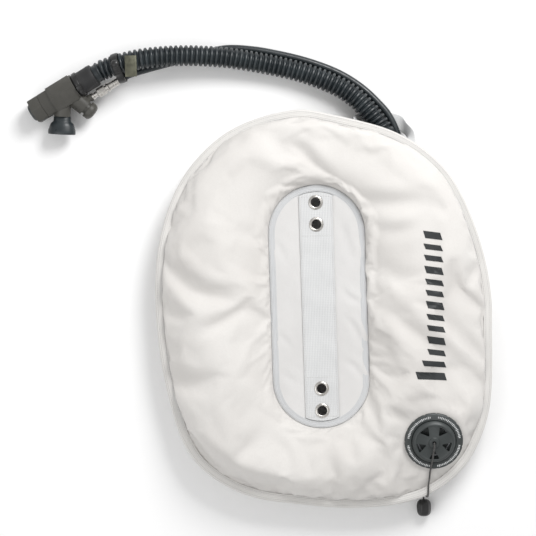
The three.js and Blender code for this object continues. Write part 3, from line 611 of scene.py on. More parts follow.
def thread_finish():
    finish = Finish("sewing_thread", (0.62, 0.61, 0.60), 0.7, Sheen_Weight=0.4)
    finish.mottled((0.42, 0.41, 0.40), 1500, 2, 0.4, 0.7, 0.5)
    finish.raised(finish.noise(2500, 2), 0.0001, 0.5)
    return finish.material


FINISHES = {}


def finished(name):
    """The finish of that name; all are made when the first is asked for."""
    if not FINISHES:
        FINISHES.update(make_finishes())
    return FINISHES[name]


# ---- The wing's two outlines and its skins -------------------------------------------------------
SETTLING_FRAMES = 16
SETTLING_LIMIT = 7
VALVE_HOLE = 27
VALVE_HOLE_REACH = 14
ELBOW_HOLE = 15.5
AROUND = 320
ACROSS = 44
THREAD_LIFT = 0.15


def outward_normals(line):
    ahead = np.roll(line[:-1], -1, axis=0) - np.roll(line[:-1], 1, axis=0)
    ahead = np.vstack([ahead, ahead[:1]])
    ahead /= np.linalg.norm(ahead, axis=1)[:, None]
    return np.stack([-ahead[:, 1], ahead[:, 0]], axis=1)


def hem_line():
    """The panel's outline, a racetrack, clockwise from its top."""
    angles = np.linspace(math.pi / 2, 0, 25)
    quarter = HEM_RADIUS * np.stack([np.cos(angles), np.sin(angles)], axis=1) + [0, HEM_STRAIGHT]
    right = np.vstack([quarter, quarter[::-1] * [1, -1]])
    return resampled(np.vstack([right, right[::-1] * [-1, 1]]), AROUND)


def rim_line():
    """The wing's outline, clockwise from near its top, from the binding's outer edge."""
    binding = frame["nodes"]["edge_binding"].data
    corners = [Vector((vert.co.x, vert.co.y)) * 1000 for vert in binding.vertices]
    hull = [corners[k] for k in convex_hull_2d(corners)]
    hull = [point for k, point in enumerate(hull) if (point - hull[k - 1]).length > 3]
    area = sum(a.x * b.y - b.x * a.y for a, b in zip(hull, hull[1:] + hull[:1]))
    if area > 0:
        hull.reverse()
    first = max(range(len(hull)), key=lambda k: hull[k].y - abs(hull[k].x + 15) * 0.5)
    line, _ = smooth_line([tuple(point) for point in hull[first:] + hull[:first]], 1.0, closed=True)
    return resampled(line, AROUND)


RIM = rim_line()
RIM_OUT = outward_normals(RIM)
HEM = hem_line()
HEM_OUT = outward_normals(HEM)
RIM_LENGTH = float(np.linalg.norm(np.diff(RIM, axis=0), axis=1).sum())
HEM_LENGTH = float(np.linalg.norm(np.diff(HEM, axis=0), axis=1).sum())


def distance_to_line(points, line):
    """How far each point lies from a line of points, in plan."""
    best = np.full(points.shape[:-1], np.inf)
    for a, b in zip(line, line[1:]):
        a, b = np.array(a[:2], float), np.array(b[:2], float)
        run = b - a
        share = np.clip(((points - a) @ run) / (run @ run), 0, 1)
        best = np.minimum(best, np.linalg.norm(points - (a + share[..., None] * run), axis=-1))
    return best


def eased(value, low, high):
    t = np.clip((value - low) / (high - low), 0, 1)
    return t * t * (3 - 2 * t)


def creased(points, creases):
    """How much a set of creases lifts or sinks the skin at each point."""
    lift = np.zeros(points.shape[:-1])
    for route, depth, width, shoulder in creases:
        line, _ = smooth_line([(x, y, 0) for x, y in route], 6)
        line = line[:, :2]
        best = np.full(points.shape[:-1], np.inf)
        signed = np.zeros(points.shape[:-1])
        place = np.zeros(points.shape[:-1])
        for k, (a, b) in enumerate(zip(line, line[1:])):
            run = b - a
            share = np.clip(((points - a) @ run) / (run @ run), 0, 1)
            away = points - (a + share[..., None] * run)
            far = np.linalg.norm(away, axis=-1)
            side = np.sign(run[0] * away[..., 1] - run[1] * away[..., 0])
            nearer = far < best
            best = np.where(nearer, far, best)
            signed = np.where(nearer, far * side, signed)
            place = np.where(nearer, (k + share) / (len(line) - 1), place)
        fade = np.clip(np.sin(np.pi * np.clip(0.04 + 0.92 * place, 0, 1)), 0, 1) ** 0.6
        valley = -np.exp(-(signed / width) ** 2)
        ridge = shoulder * np.exp(-((signed - 1.7 * width) / (0.9 * width)) ** 2)
        ridge += 0.6 * shoulder * np.exp(-((signed + 1.9 * width) / (1.1 * width)) ** 2)
        lift += depth * fade * (valley + ridge)
    return lift


def puckers(length, pitch, seed):
    """Uneven gathers along a seam, from -1 to 1, that meet at the ends."""
    turns = np.linspace(0, math.tau, AROUND + 1)
    count = round(length / pitch)
    waves = ((0.5, 1, 1.3), (0.35, 1.37, 2.1), (0.3, 0.71, 0.7), (0.25, 1.83, 3.7))
    wave = sum(weight * np.sin(turns * round(count * share) + seed * phase) for weight, share, phase in waves)
    swell = 0.6 + 0.4 * np.sin(turns * 7 + seed) * np.sin(turns * 3 + 2 * seed)
    return wave * swell


def rim_wave():
    """How far the rim stands off its level; it lies flat under the pull cord and at the hoses' loop."""
    turns = np.linspace(0, math.tau, AROUND + 1)
    wave = 1.1 * np.sin(turns * 5 + 0.8) + 0.7 * np.sin(turns * 11 + 2.0)
    cord = np.linalg.norm(RIM - np.array(PULL_ROUTE[18][:2]), axis=1)
    loop = np.linalg.norm(RIM - np.array([105.0, 262.0]), axis=1)
    return wave * eased(cord, 30, 80) * eased(loop, 50, 95)


RIM_WAVE = rim_wave()


def rear_room(points):
    """How deep the rear skin may reach over the hoses and the elbow."""
    elbow = np.linalg.norm(points - np.array(ELBOW_PLACE[:2]), axis=-1)
    hose = distance_to_line(points, HOSE_ROUTE)
    low_pressure = distance_to_line(points, LP_ROUTE)
    return np.minimum.reduce([
        POCKET_DEPTH + POCKET_SLOPE * np.maximum(0, elbow - ELBOW_POCKET),
        POCKET_DEPTH + POCKET_SLOPE * np.maximum(0, hose - HOSE_DIAMETER),
        REAR_BULGE - LP_DIAMETER - 4 + POCKET_SLOPE * np.maximum(0, low_pressure - 2 * LP_DIAMETER),
    ])


def relaxed(heights, times):
    """Evens out a table of heights, which closes round its first direction."""
    for _ in range(times):
        ring = np.vstack([heights[-2:-1], heights, heights[1:2]])
        even = (ring[:-2] + ring[2:]) / 4
        even[:, 1:-1] += (heights[:, :-2] + heights[:, 2:]) / 4
        even[:, 0], even[:, -1] = heights[:, 0], heights[:, -1]
        heights = even
    return heights


def skin_table(side, sizes):
    """The outer points of one skin, from the hem to the binding, before it settles."""
    share = (1 - np.cos(np.pi * np.arange(ACROSS + 1) / ACROSS)) / 2
    start = HEM + GAP * HEM_OUT
    end = RIM - BINDING_WIDTH * RIM_OUT
    plan = start[:, None] + (end - start)[:, None] * share[None, :, None]
    chord = np.linalg.norm(end - start, axis=1)
    fullness = np.minimum(1, chord / FULL_CHORD) ** 0.8
    arch = (4 * share * (1 - share))[None, :] ** 0.55 * fullness[:, None]
    edge = np.clip(share / 0.08, 0, 1) * np.clip((1 - share) / 0.08, 0, 1)
    from_hem = share[None, :] * chord[:, None]
    from_rim = (1 - share)[None, :] * chord[:, None]
    gathers = sizes.gathers * (
        puckers(HEM_LENGTH, 17, 1.0)[:, None] * np.exp(-((from_hem - 9) / 11) ** 2)
        + 0.8 * puckers(RIM_LENGTH, 23, 2.6)[:, None] * np.exp(-((from_rim - 8) / 10) ** 2))
    if side > 0:
        free = FRONT_BULGE * arch
        offset = plan - np.array(VALVE_PLACE[:2])
        flat = 30 + np.minimum(offset[..., 1] * math.tan(VALVE_TILT), FRONT_BULGE - 24)
        from_valve = np.linalg.norm(offset, axis=-1)
        away = eased(from_valve, 1.6 * VALVE_RADIUS, 2.5 * VALVE_RADIUS)
        heights = flat * edge * (1 - away) + free * away
        clear = eased(from_valve, VALVE_RADIUS + 4, VALVE_RADIUS + 26)
        clear *= eased(distance_to_line(plan, PULL_ROUTE[8:18]), 4, 20)
        heights += clear * (creased(plan, CREASES) * sizes.crease_depth + gathers)
    else:
        flat = np.full_like(arch, REAR_BULGE)
        heights = np.minimum.reduce([REAR_BULGE * arch * 1.06, flat, rear_room(plan)])
        x, y = plan[..., 0], plan[..., 1]
        ripple = np.sin(x / 17 + 1.2 * np.sin(y / 31)) * np.sin(y / 23 + 0.6)
        heights -= 1.4 * (1 + ripple) * np.clip(arch * 1.4, 0, 1) * (heights > 8)
        heights -= np.abs(gathers) * 0.8 * (heights > 6)
    heights = relaxed(np.maximum(heights, 1.2 * np.clip(share / 0.03, 0, 1)), 6)
    wave = RIM_WAVE[:, None] * (share ** 4)[None, :]
    z = SEAM_Z + side * (GAP / 2 + heights) + wave
    return np.concatenate([plan, z[..., None]], axis=-1)


def settled(table, sizes):
    """Lets the front skin take its own folds, as slack cloth held at its seams, with air behind it."""
    form = grid_form(table, wrap_u=True)
    lookup = {}
    for k, vert in enumerate(form.verts):
        lookup.setdefault(tuple(round(c, 2) for c in vert.co), k)
    moved(form, METRES)
    cloth = loose_object(form, "settling_skin")
    pinned = cloth.vertex_groups.new(name="held")
    rows, columns = table.shape[:2]
    indices = np.array([[lookup.get(tuple(round(float(c), 2) for c in np.float32(table[i, j])), -1)
                         for j in range(columns)] for i in range(rows)])
    offset = np.linalg.norm(table[..., :2] - np.array(VALVE_PLACE[:2]), axis=-1)
    held = (offset < VALVE_RADIUS + 6) | (distance_to_line(table[..., :2], PULL_ROUTE[8:18]) < 6)
    held[:, :2] = True
    held[:, -2:] = True
    pinned.add(sorted({int(k) for k in indices[held] if k >= 0}), 1.0, "REPLACE")
    change = cloth.modifiers.new("cloth", "CLOTH")
    settings = change.settings
    settings.quality = 5
    settings.mass = 0.25
    settings.tension_stiffness = settings.compression_stiffness = 30
    settings.shear_stiffness = 12
    settings.bending_stiffness = 0.6
    settings.air_damping = 3
    settings.shrink_min = -sizes.slack
    settings.use_pressure = True
    settings.uniform_pressure_force = sizes.air_pressure
    settings.effector_weights.gravity = 0
    settings.vertex_group_mass = "held"
    change.collision_settings.use_collision = False
    change.collision_settings.use_self_collision = False
    scene = bpy.context.scene
    change.point_cache.frame_start = 1
    change.point_cache.frame_end = SETTLING_FRAMES
    for step in range(1, SETTLING_FRAMES + 1):
        scene.frame_set(step)
    depsgraph = bpy.context.evaluated_depsgraph_get()
    final = cloth.evaluated_get(depsgraph).data
    places = np.zeros(len(final.vertices) * 3)
    final.vertices.foreach_get("co", places)
    places = places.reshape(-1, 3) * 1000
    result = np.where((indices >= 0)[..., None], places[indices], table)
    bpy.data.objects.remove(cloth)
    scene.frame_set(1)
    shift = result - table
    far = np.linalg.norm(shift, axis=-1, keepdims=True)
    return table + shift * np.minimum(1, SETTLING_LIMIT / np.maximum(far, 1e-6))


SKINS = {}


def skins(sizes):
    """Both skins' tables of outer points, made once."""
    if not SKINS:
        SKINS["rear"] = skin_table(-1, sizes)
        front = skin_table(1, sizes)
        SKINS["front"] = settled(front, sizes)
    return SKINS


def with_flange(table, side):
    """Carries a skin on under the binding."""
    rows = [table]
    for inset in (8, 2.6):
        plan = RIM - inset * RIM_OUT
        z = SEAM_Z + side * 1.35 + RIM_WAVE
        rows.append(np.concatenate([plan, z[:, None]], axis=1)[:, None])
    return np.concatenate(rows, axis=1)


def plan_uvs(table):
    """Coordinates along the cloth in metres, which keep the weave's size on slopes."""
    uvs = table[..., :2] / 1000
    rise = np.abs(np.diff(table[..., 2], axis=1, prepend=table[:, :1, 2])).cumsum(axis=1) / 1000
    return uvs + 0.35 * rise[..., None]


def make_skins():
    sizes = bpy.context.scene.wing_sizes
    for name, side in (("front", 1), ("rear", -1)):
        table = with_flange(skins(sizes)[name], side)
        form = grid_form(table, plan_uvs(table), wrap_u=True)
        facing = sum(face.normal.z * face.calc_area() for face in form.faces)
        if facing * side < 0:
            bmesh.ops.reverse_faces(form, faces=form.faces)
        if name == "front":
            inner = [vert for vert in form.verts if (VALVE.inverted() @ vert.co).xy.length < VALVE_HOLE
                     and abs((VALVE.inverted() @ vert.co).z) < VALVE_HOLE_REACH]
        else:
            inner = [vert for vert in form.verts if (vert.co.xy - ELBOW_PLACE.xy).length < ELBOW_HOLE]
        bmesh.ops.delete(form, geom=inner, context="VERTS")
        skin = piece(f"{name}_skin", form, "fabric", stands_for=f"{name}_shell",
                     smooth_angle=80)
        wall = skin.modifiers.new("thickness", "SOLIDIFY")
        wall.thickness = sizes.fabric_thickness
        wall.offset = -1
    piece("bladder", inner_cell(sizes), "cell", stands_for="air_cell", smooth_angle=60)


def inner_cell(sizes):
    """The closed bladder, just inside both skins."""
    front, rear = (skins(sizes)[name][:, 2:-2].copy() for name in ("front", "rear"))
    front[..., 2] = np.maximum(front[..., 2] - 2.4, SEAM_Z + 0.4)
    rear[..., 2] = np.minimum(rear[..., 2] + 2.4, SEAM_Z - 0.4)
    table = np.concatenate([front, rear[:, ::-1], front[:, :1]], axis=1)
    return grid_form(table, wrap_u=True, wrap_v=True)


def section_table(line, out, section, wave=None):
    """A closed section, as (inset, level) pairs, carried round a closed line."""
    section = np.array([*section, section[0]], float)
    table = np.zeros((len(line), len(section), 3))
    table[..., :2] = line[:, None] - section[None, :, :1] * out[:, None]
    table[..., 2] = section[None, :, 1]
    if wave is not None:
        table[..., 2] += wave[:, None]
    along = lengths_along(line) / 1000
    width = lengths_along(section) / 1000
    uvs = np.stack(np.meshgrid(along, width, indexing="ij"), axis=-1)
    return table, uvs


def stitch_rows(rows):
    """Short sewn stitches along rows of points, each row with its own level and turn."""
    stitch = bmesh.new()
    bmesh.ops.create_uvsphere(stitch, u_segments=6, v_segments=4, radius=1,
                              matrix=Matrix.Diagonal((1.35, 0.42, 0.34, 1)))
    places = []
    for line in rows:
        line = np.asarray(line, float)
        length = np.linalg.norm(np.diff(line, axis=0), axis=1).sum()
        points = resampled(line, max(2, round(length / 3.6)))
        for a, b in zip(points, points[1:]):
            run = b - a
            place = Matrix.Rotation(math.atan2(run[1], run[0]), 4, "Z")
            place.translation = Vector((a + b) / 2)
            places.append(place)
    return repeated(stitch, places)


def level_line(line, z):
    z = np.broadcast_to(z, len(line))
    return np.concatenate([line, z[:, None]], axis=1)


def make_binding():
    top = BINDING_HIGH.z
    bottom = BINDING_LOW.z
    inside = 1.65
    section = [
        (12.7, SEAM_Z + inside), (12.8, top - 0.3), (11.6, top + 0.1), (7, top + 0.25), (2.6, top + 0.1),
        (0.8, SEAM_Z + 2.1), (0.05, SEAM_Z + 0.9), (0.05, SEAM_Z - 0.9), (0.8, SEAM_Z - 2.1),
        (2.6, bottom - 0.1), (7, bottom - 0.25), (11.6, bottom - 0.1), (12.8, bottom + 0.3),
        (12.7, SEAM_Z - inside), (2.6, SEAM_Z - inside), (1.9, SEAM_Z), (2.6, SEAM_Z + inside),
    ]
    table, uvs = section_table(RIM, RIM_OUT, section, RIM_WAVE)
    small = 0.22 * puckers(RIM_LENGTH, 9, 4.2)
    table[..., 2] += small[:, None] * np.sign(table[..., 2] - SEAM_Z)
    form = grid_form(table, uvs, wrap_u=True, wrap_v=True)
    piece("rim_binding", form, "binding", stands_for="edge_binding", smooth_angle=50)
    rows = []
    for inset in (3.4, 10.2):
        line = RIM - inset * RIM_OUT
        rows.append(level_line(line, top + 0.2 + THREAD_LIFT + RIM_WAVE + small))
        rows.append(level_line(line, bottom - 0.2 - THREAD_LIFT + RIM_WAVE - small))
    piece("binding_stitches", stitch_rows(rows), "thread")


# ---- Centre panel --------------------------------------------------------------------------------
PANEL_CREASES = [
    ([(34, 128), (44, 96), (52, 66)], 1.6, 7, 0.5),
    ([(32, 30), (46, 12), (60, 4)], 1.5, 5, 0.5),
    ([(40, -18), (52, -34), (60, -58)], 1.8, 5, 0.5),
    ([(36, -84), (50, -92), (61, -112)], 1.5, 5, 0.5),
    ([(-32, 70), (-40, 20), (-38, -30)], 1.2, 7, 0.4),
    ([(-58, 96), (-48, 70)], 1.2, 5, 0.4),
    ([(-60, -40), (-46, -58)], 1.2, 5, 0.4),
    ([(-54, -100), (-36, -116)], 1.3, 6, 0.4),
]


EYELET_BORE = 8.15
BOLT_ROW = 139.7


def eyelet_rows():
    return [sum(corner[1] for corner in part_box(f"eyelet_{k}")) * 500 for k in range(1, 5)]


def eyelet_bores():
    return [("DIFFERENCE", moved(bar(48, EYELET_BORE, -12, 6), Matrix.Translation((0, y, 0))))
            for y in eyelet_rows()]


def make_panel():
    inward = np.linspace(0, 1, 26)
    core_end = HEM_STRAIGHT + 30
    core = np.stack([np.zeros(AROUND + 1), np.clip(HEM[:, 1], -core_end, core_end)], axis=1)
    plan = HEM[:, None] * (1 - inward)[None, :, None] + core[:, None] * inward[None, :, None]
    bare = eased(np.abs(plan[..., 0]), 25, 30) * eased(-distance_to_line(plan, HEM), -60, -13)
    lift = (creased(plan, PANEL_CREASES) + 1.1) * bare
    front = np.concatenate([plan, (PANEL_HIGH.z + lift)[..., None]], axis=-1)
    back = np.concatenate([plan, (PANEL_LOW.z + 0.4 * lift)[..., None]], axis=-1)
    table = np.concatenate([back[:, ::-1], front], axis=1)
    form = grid_form(table, wrap_u=True)
    bmesh.ops.remove_doubles(form, verts=form.verts, dist=0.05)
    capped(form)
    form = carved(form, *eyelet_bores())
    piece("panel", form, "panel", stands_for="centre_panel", smooth_angle=50)
    for name, low, high in (("front", TAPE_LOW.z, TAPE_HIGH.z),
                            ("rear", REAR_TAPE_LOW, REAR_TAPE_LOW + 1)):
        middle = (low + high) / 2
        section = [
            (0, middle), (0.3, high - 0.15), (1.5, high), (5, high + 0.12), (8.5, high),
            (9.7, high - 0.15), (10, middle), (9.7, low + 0.1), (5, low), (0.3, low + 0.1),
        ]
        table, uvs = section_table(HEM, HEM_OUT, section)
        form = grid_form(table, uvs, wrap_u=True, wrap_v=True)
        piece(f"{name}_tape", form, "tape", stands_for=f"{name}_panel_tape",
              smooth_angle=60)
        outside = high + THREAD_LIFT if name == "front" else low - THREAD_LIFT
        rows = [level_line(HEM - inset * HEM_OUT, outside) for inset in (1.8, 8.2)]
        piece(f"{name}_tape_stitches", stitch_rows(rows), "thread")


def make_webbing():
    """The strap down the panel, whose ends follow the tape; it waves a little between the eyelets."""
    half = WEBBING_HIGH.x
    end_radius = HEM_RADIUS - TAPE_WIDTH - 3 * GAP
    across = np.linspace(-half, half, 27)
    share = np.linspace(-1, 1, 181)
    reach = HEM_STRAIGHT + np.sqrt(end_radius ** 2 - across ** 2)
    x = np.broadcast_to(across, (len(share), len(across)))
    y = share[:, None] * reach[None, :]
    edge = 1 - (np.abs(x) / half) ** 10
    calm = np.clip(np.abs(np.abs(y) - BOLT_ROW) / 24 - 0.9, 0, 1)
    wave = 0.5 * np.sin(y / 6.5 + 0.5 * np.sin(y / 19)) + 0.3 * np.sin(y / 13.7 + x / 40)
    top = WEBBING_HIGH.z - 0.25 * (1 - edge) + 0.45 * calm * (wave - 0.4)
    bottom = np.full_like(top, WEBBING_LOW.z) + 0.25 * (1 - edge)
    front = np.stack([x, y, top], axis=-1)
    back = np.stack([x, y, bottom], axis=-1)[:, ::-1]
    table = np.concatenate([front, back, front[:, :1]], axis=1)
    uvs = np.stack([table[..., 1], table[..., 0]], axis=-1) / 1000
    form = grid_form(table, uvs)
    bmesh.ops.remove_doubles(form, verts=form.verts, dist=0.01)
    capped(form)
    form = carved(form, *eyelet_bores())
    piece("webbing_strap", form, "webbing", stands_for="centre_webbing", smooth_angle=50)
    ends = HEM_STRAIGHT + math.sqrt(end_radius ** 2 - 23 ** 2) - 2
    rows = [[(x, -ends, WEBBING_HIGH.z + 0.1), (x, ends, WEBBING_HIGH.z + 0.1)] for x in (-23, 23)]
    for end in (-1, 1):
        for y in (HEM_STRAIGHT - 4, HEM_STRAIGHT + 55):
            rows.append([(-22, end * y, WEBBING_HIGH.z + 0.1), (22, end * y, WEBBING_HIGH.z + 0.1)])
    piece("webbing_stitches", stitch_rows(rows), "thread")


EYELET_RING = [
    (7, 0.9), (7.5, 1.5), (8.4, 1.85), (9.6, 1.55), (10.6, 0.95), (11, 0.3), (10.4, 0.12), (8, 0.1),
    (8, -5.6), (7.6, -6.1), (7, -5.6),
]
EYELET_BACK = [(8.2, -4.7), (10.4, -4.7), (11, -5), (10.8, -5.6), (9.6, -5.95), (8.2, -5.8)]


def make_eyelets():
    for k, y in enumerate(eyelet_rows(), 1):
        for name, profile, node in (("ring", EYELET_RING, "eyelet"), ("back", EYELET_BACK, "eyelet_washer")):
            piece(f"eyelet_{name}_{k}", turned(profile, 56), "nickel",
                  place=Matrix.Translation((0, y, 0)), stands_for=f"{node}_{k}", smooth_angle=60)


# The loop's stops: share of the rim, distance outside it and level, then how the half width points.
LOOP_STOPS = [
    ((0.0465, -7.4, -8.4), (-3.5, 6, 0)), ((0.047, -3.5, -17), (-6.8, 7.1, 0)),
    ((0.048, -1.1, -33), (-8, 7.9, 0)), ((0.05, 3.4, -43.5), (-5.4, 10.6, 0)),
    ((0.055, 9, -47.4), (-1.6, 12.1, 0)), ((0.0645, 13.6, -47.4), (1.4, 12.3, 0)),
    ((0.0795, 19.7, -47.2), (-0.8, 10.3, 0)), ((0.0865, 14.8, -38), (-2.6, 7.8, 4)),
    ((0.092, 8, -20), (2, 6.1, 4)), ((0.0945, -1.7, -8.6), (7.5, 1.4, 0)),
]


def make_loop():
    """The webbing loop under the hoses."""
    along = lengths_along(RIM)
    stops = []
    for (share, outside, z), (run, outwards, up) in LOOP_STOPS:
        place = share * along[-1]
        centre = np.array([np.interp(place, along, RIM[:, k]) for k in (0, 1)])
        normal = np.array([np.interp(place, along, RIM_OUT[:, k]) for k in (0, 1)])
        tangent = np.array([normal[1], -normal[0]])
        stops.append((*(centre + outside * normal), z, *(run * tangent + outwards * normal), up))
    line, _ = smooth_line(stops, 3)
    centres, halves = line[:, :3], line[:, 3:]
    runs = np.gradient(centres, axis=0)
    lifts = np.cross(runs, halves)
    lifts *= 0.8 / np.linalg.norm(lifts, axis=1)[:, None]
    shares = np.linspace(1, -1, 11)
    section = [(share, 1) for share in shares] + [(-share, -1) for share in shares]
    section.append(section[0])
    table = np.stack([centres + share * halves + face * lifts * (1 - 0.4 * abs(share) ** 12)
                      for share, face in section], axis=1)
    length = lengths_along(centres)
    width = [share * 0.0125 for share, _ in section]
    uvs = np.stack(np.meshgrid(length / 1000, width, indexing="ij"), axis=-1)
    form = grid_form(table, uvs, wrap_v=True)
    capped(form)
    piece("hose_strap", form, "webbing", stands_for="hose_loop", smooth_angle=50)


BAR_WIDTHS = [25] * 11 + [34, 44]
BAR_TOP = 108.0
BAR_RIGHT = 182
BAR_SPACE = 8
BAR_LIFT = 0.5
BAR_WALL = 0.3


def make_bars():
    """A plain ladder of printed bars down the right side, laid on the skin."""
    skin = bpy.data.objects["front_skin"]
    depsgraph = bpy.context.evaluated_depsgraph_get()
    forms = []
    y = BAR_TOP
    columns, rows = 25, 10
    for k, width in enumerate(BAR_WIDTHS):
        height = 8.5 if k % 3 else 11
        left = BAR_RIGHT - width
        table = np.zeros((rows, columns, 3))
        for i, b in enumerate(np.linspace(0, 1, rows)):
            for j, a in enumerate(np.linspace(0, 1, columns)):
                at = Vector((left + width * a + 3 * b, y - height * b - 4 * a, 0))
                hit = skin.ray_cast((at.x / 1000, at.y / 1000, 0.2), (0, 0, -1), depsgraph=depsgraph)[1]
                table[i, j] = (at.x, at.y, hit.z * 1000 + BAR_LIFT)
        form = grid_form(table)
        if sum(face.normal.z for face in form.faces) < 0:
            bmesh.ops.reverse_faces(form, faces=form.faces)
        bmesh.ops.solidify(form, geom=form.faces[:], thickness=BAR_WALL)
        forms.append(form)
        y -= height + BAR_SPACE
    piece("printed_bars", gathered(*forms), "bars", smooth_angle=50)


# ---- Hoses and the cord --------------------------------------------------------------------------
RIB_PITCH = 7.5
RIB_DEPTH = 4


def make_hose():
    """The corrugated hose: rounded ribs, smooth where it goes into a cuff."""
    route, length = smooth_line(HOSE_ROUTE, 0.6)
    along = np.linspace(0, length, len(route))
    phase = along / RIB_PITCH * math.tau
    groove = ((1 - np.cos(phase)) / 2) ** 2.2
    inside = eased(along, 4, 10) * eased(length - along, 4, 10)
    radii = HOSE_DIAMETER / 2 - RIB_DEPTH * groove * inside - 0.5 * RIB_DEPTH * (1 - inside)
    form = tube_form(route, radii, sides=40)
    hose = piece("breathing_hose", form, "rubber", stands_for="corrugated_hose",
                 smooth_angle=80)


def make_lp_hose():
    route, length = smooth_line(LP_ROUTE, 2.5)
    form = tube_form(route, LP_DIAMETER / 2, sides=24)
    hose = piece("supply_hose", form, "rubber", stands_for="lp_hose", smooth_angle=80)


def make_pull_cord():
    """The thin cord of the dump valve, from the hub over the rim to its knob."""
    route, length = smooth_line(PULL_ROUTE, 1.2)
    form = tube_form(route, CORD_DIAMETER / 2, sides=12, twist=0.25)
    cord = piece("dump_cord", form, "cord", body=None, stands_for="pull_cord",
                 smooth_angle=80)
    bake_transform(cord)


def make_knob():
    """A fluted toggle, rounded at both ends."""
    low, high = box_mm("pull_knob")
    radius = (high.x - low.x) / 2 - 0.1
    turns = np.linspace(0, math.tau, 61)
    levels = [
        (0, 3.2), (0.4, 5.5), (1.6, 7.6), (3.6, 9.3), (6.5, 10.3), (10, 10.7), (14, 10.7), (17.5, 10.5),
        (20.5, 9.9), (23, 8.6), (24.8, 6.6), (25.6, 4.2), (25.9, 2.0),
    ]
    table = np.zeros((len(levels), len(turns), 3))
    for k, (down, wide) in enumerate(levels):
        flute = 1 - 0.10 * (1 - np.cos(6 * turns)) / 2 * math.sin(math.pi * down / 26)
        table[k, :, 0] = wide / 10.7 * radius * flute * np.cos(turns)
        table[k, :, 1] = -down
        table[k, :, 2] = wide / 10.7 * radius * flute * np.sin(turns)
    form = grid_form(table, wrap_u=True)
    capped(form)
    centre = (low + high) / 2
    place = Matrix.Translation((centre.x, high.y - 0.05, centre.z))
    piece("knob", form, "tie", body="pull", place=place, stands_for="pull_knob",
          smooth_angle=60)


KEEPER_SHARE = 0.075


def make_keeper():
    """The band that holds the two hoses together, with its stud and the plate under it."""
    route, length = smooth_line(HOSE_ROUTE, 1)
    at = KEEPER_SHARE * length
    along = np.linspace(0, length, len(route))
    centre = np.array([np.interp(at, along, route[:, k]) for k in range(3)])
    ahead = np.array([np.interp(at + 4, along, route[:, k]) for k in range(3)])
    tangent = Vector(ahead - centre).normalized()
    across = Vector((0, 0, 1)).cross(tangent).normalized()
    up = tangent.cross(across)
    centre = Vector(centre)
    lp_route, _ = smooth_line(LP_ROUTE, 1)
    near = min(lp_route, key=lambda point: (Vector(point) - centre).length)
    small = Vector(near) - centre
    small -= tangent * small.dot(tangent)
    big_radius, small_radius = HOSE_DIAMETER / 2 + 0.35, LP_DIAMETER / 2 + 0.35
    ring = []
    for angle in np.linspace(0, math.tau, 72, endpoint=False):
        way = across * math.cos(angle) + up * math.sin(angle)
        reach = max(big_radius, small.dot(way) + small_radius)
        ring.append((way, reach))
    section = [
        (-5.2, 0), (-5.5, 0.5), (-5.2, 1.3), (-2, 1.75), (2, 1.75), (5.2, 1.3), (5.5, 0.5), (5.2, 0),
        (-5.2, 0),
    ]
    table = np.array([[tuple(centre + way * (reach + out) + tangent * run) for run, out in section]
                      for way, reach in [*ring, ring[0]]])
    uvs = np.zeros((*table.shape[:2], 2))
    band = grid_form(table, uvs, wrap_u=True, wrap_v=True)
    stud = turned([(0, 6.5), (3.2, 6.1), (5.4, 4.6), (6.4, 2.2), (6.6, 0), (0, 0)], 40)
    moved(stud, Matrix.Translation(centre + up * (big_radius + 1.2)))
    piece("keeper_band", gathered(band, stud), "tie", stands_for="hose_keeper",
          smooth_angle=50)
    low, high = box_mm("keeper_clip")
    plate = block((high.x - low.x - 0.2, high.y - low.y - 0.2, high.z - low.z), (low + high) / 2)
    softened(plate, 1.2, 3)
    piece("clip_plate", plate, "clip", stands_for="keeper_clip", smooth_angle=40)


# ---- Cuffs and ties ------------------------------------------------------------------------------
def cuff_form(start, end):
    """A rubber cuff about +Z with rounded ends and two low beads."""
    profile = [(CUFF_INSIDE, start), (CUFF_OUTSIDE - 1, start), (CUFF_OUTSIDE, start + 1)]
    for bead in (start + 0.18 * (end - start), start + 0.82 * (end - start)):
        profile += [(CUFF_OUTSIDE, bead - 1.6), (CUFF_OUTSIDE + 0.45, bead), (CUFF_OUTSIDE, bead + 1.6)]
    profile += [(CUFF_OUTSIDE, end - 1), (CUFF_OUTSIDE - 1, end), (CUFF_INSIDE, end)]
    return turned(profile, 64)


def tie_form(start, width):
    """A nylon cable tie: a ribbed band with its square head and a trimmed tail."""
    inner, outer = CUFF_OUTSIDE + 0.3, CUFF_OUTSIDE + 2
    end = start + width
    band = turned([(inner, start), (outer - 0.3, start), (outer, start + 0.4), (outer, end - 0.4),
                   (outer - 0.3, end), (inner, end)], 72)
    head = block((5, 7.5, width + 1.4), (outer + 1.2, 0, start + width / 2))
    softened(head, 0.6)
    tail = block((1.3, 5, width - 1.6), (outer + 2, 5.4, start + width / 2), turn=-0.2)
    softened(tail, 0.3)
    return gathered(band, head, tail)


def make_cuffs():
    for name, place, start, end, tie_start in (
            ("elbow", ELBOW_ALONG, 29, 58, 37), ("inflator", ON_AXIS, 2.6, 36, 5)):
        piece(f"{name}_rubber", cuff_form(start, end), "seal", place=place,
              stands_for=f"{name}_cuff", smooth_angle=50)
        piece(f"{name}_cable_tie", moved(tie_form(tie_start, 6), turn_z(200)), "tie",
              place=place, stands_for=f"{name}_tie", smooth_angle=45)


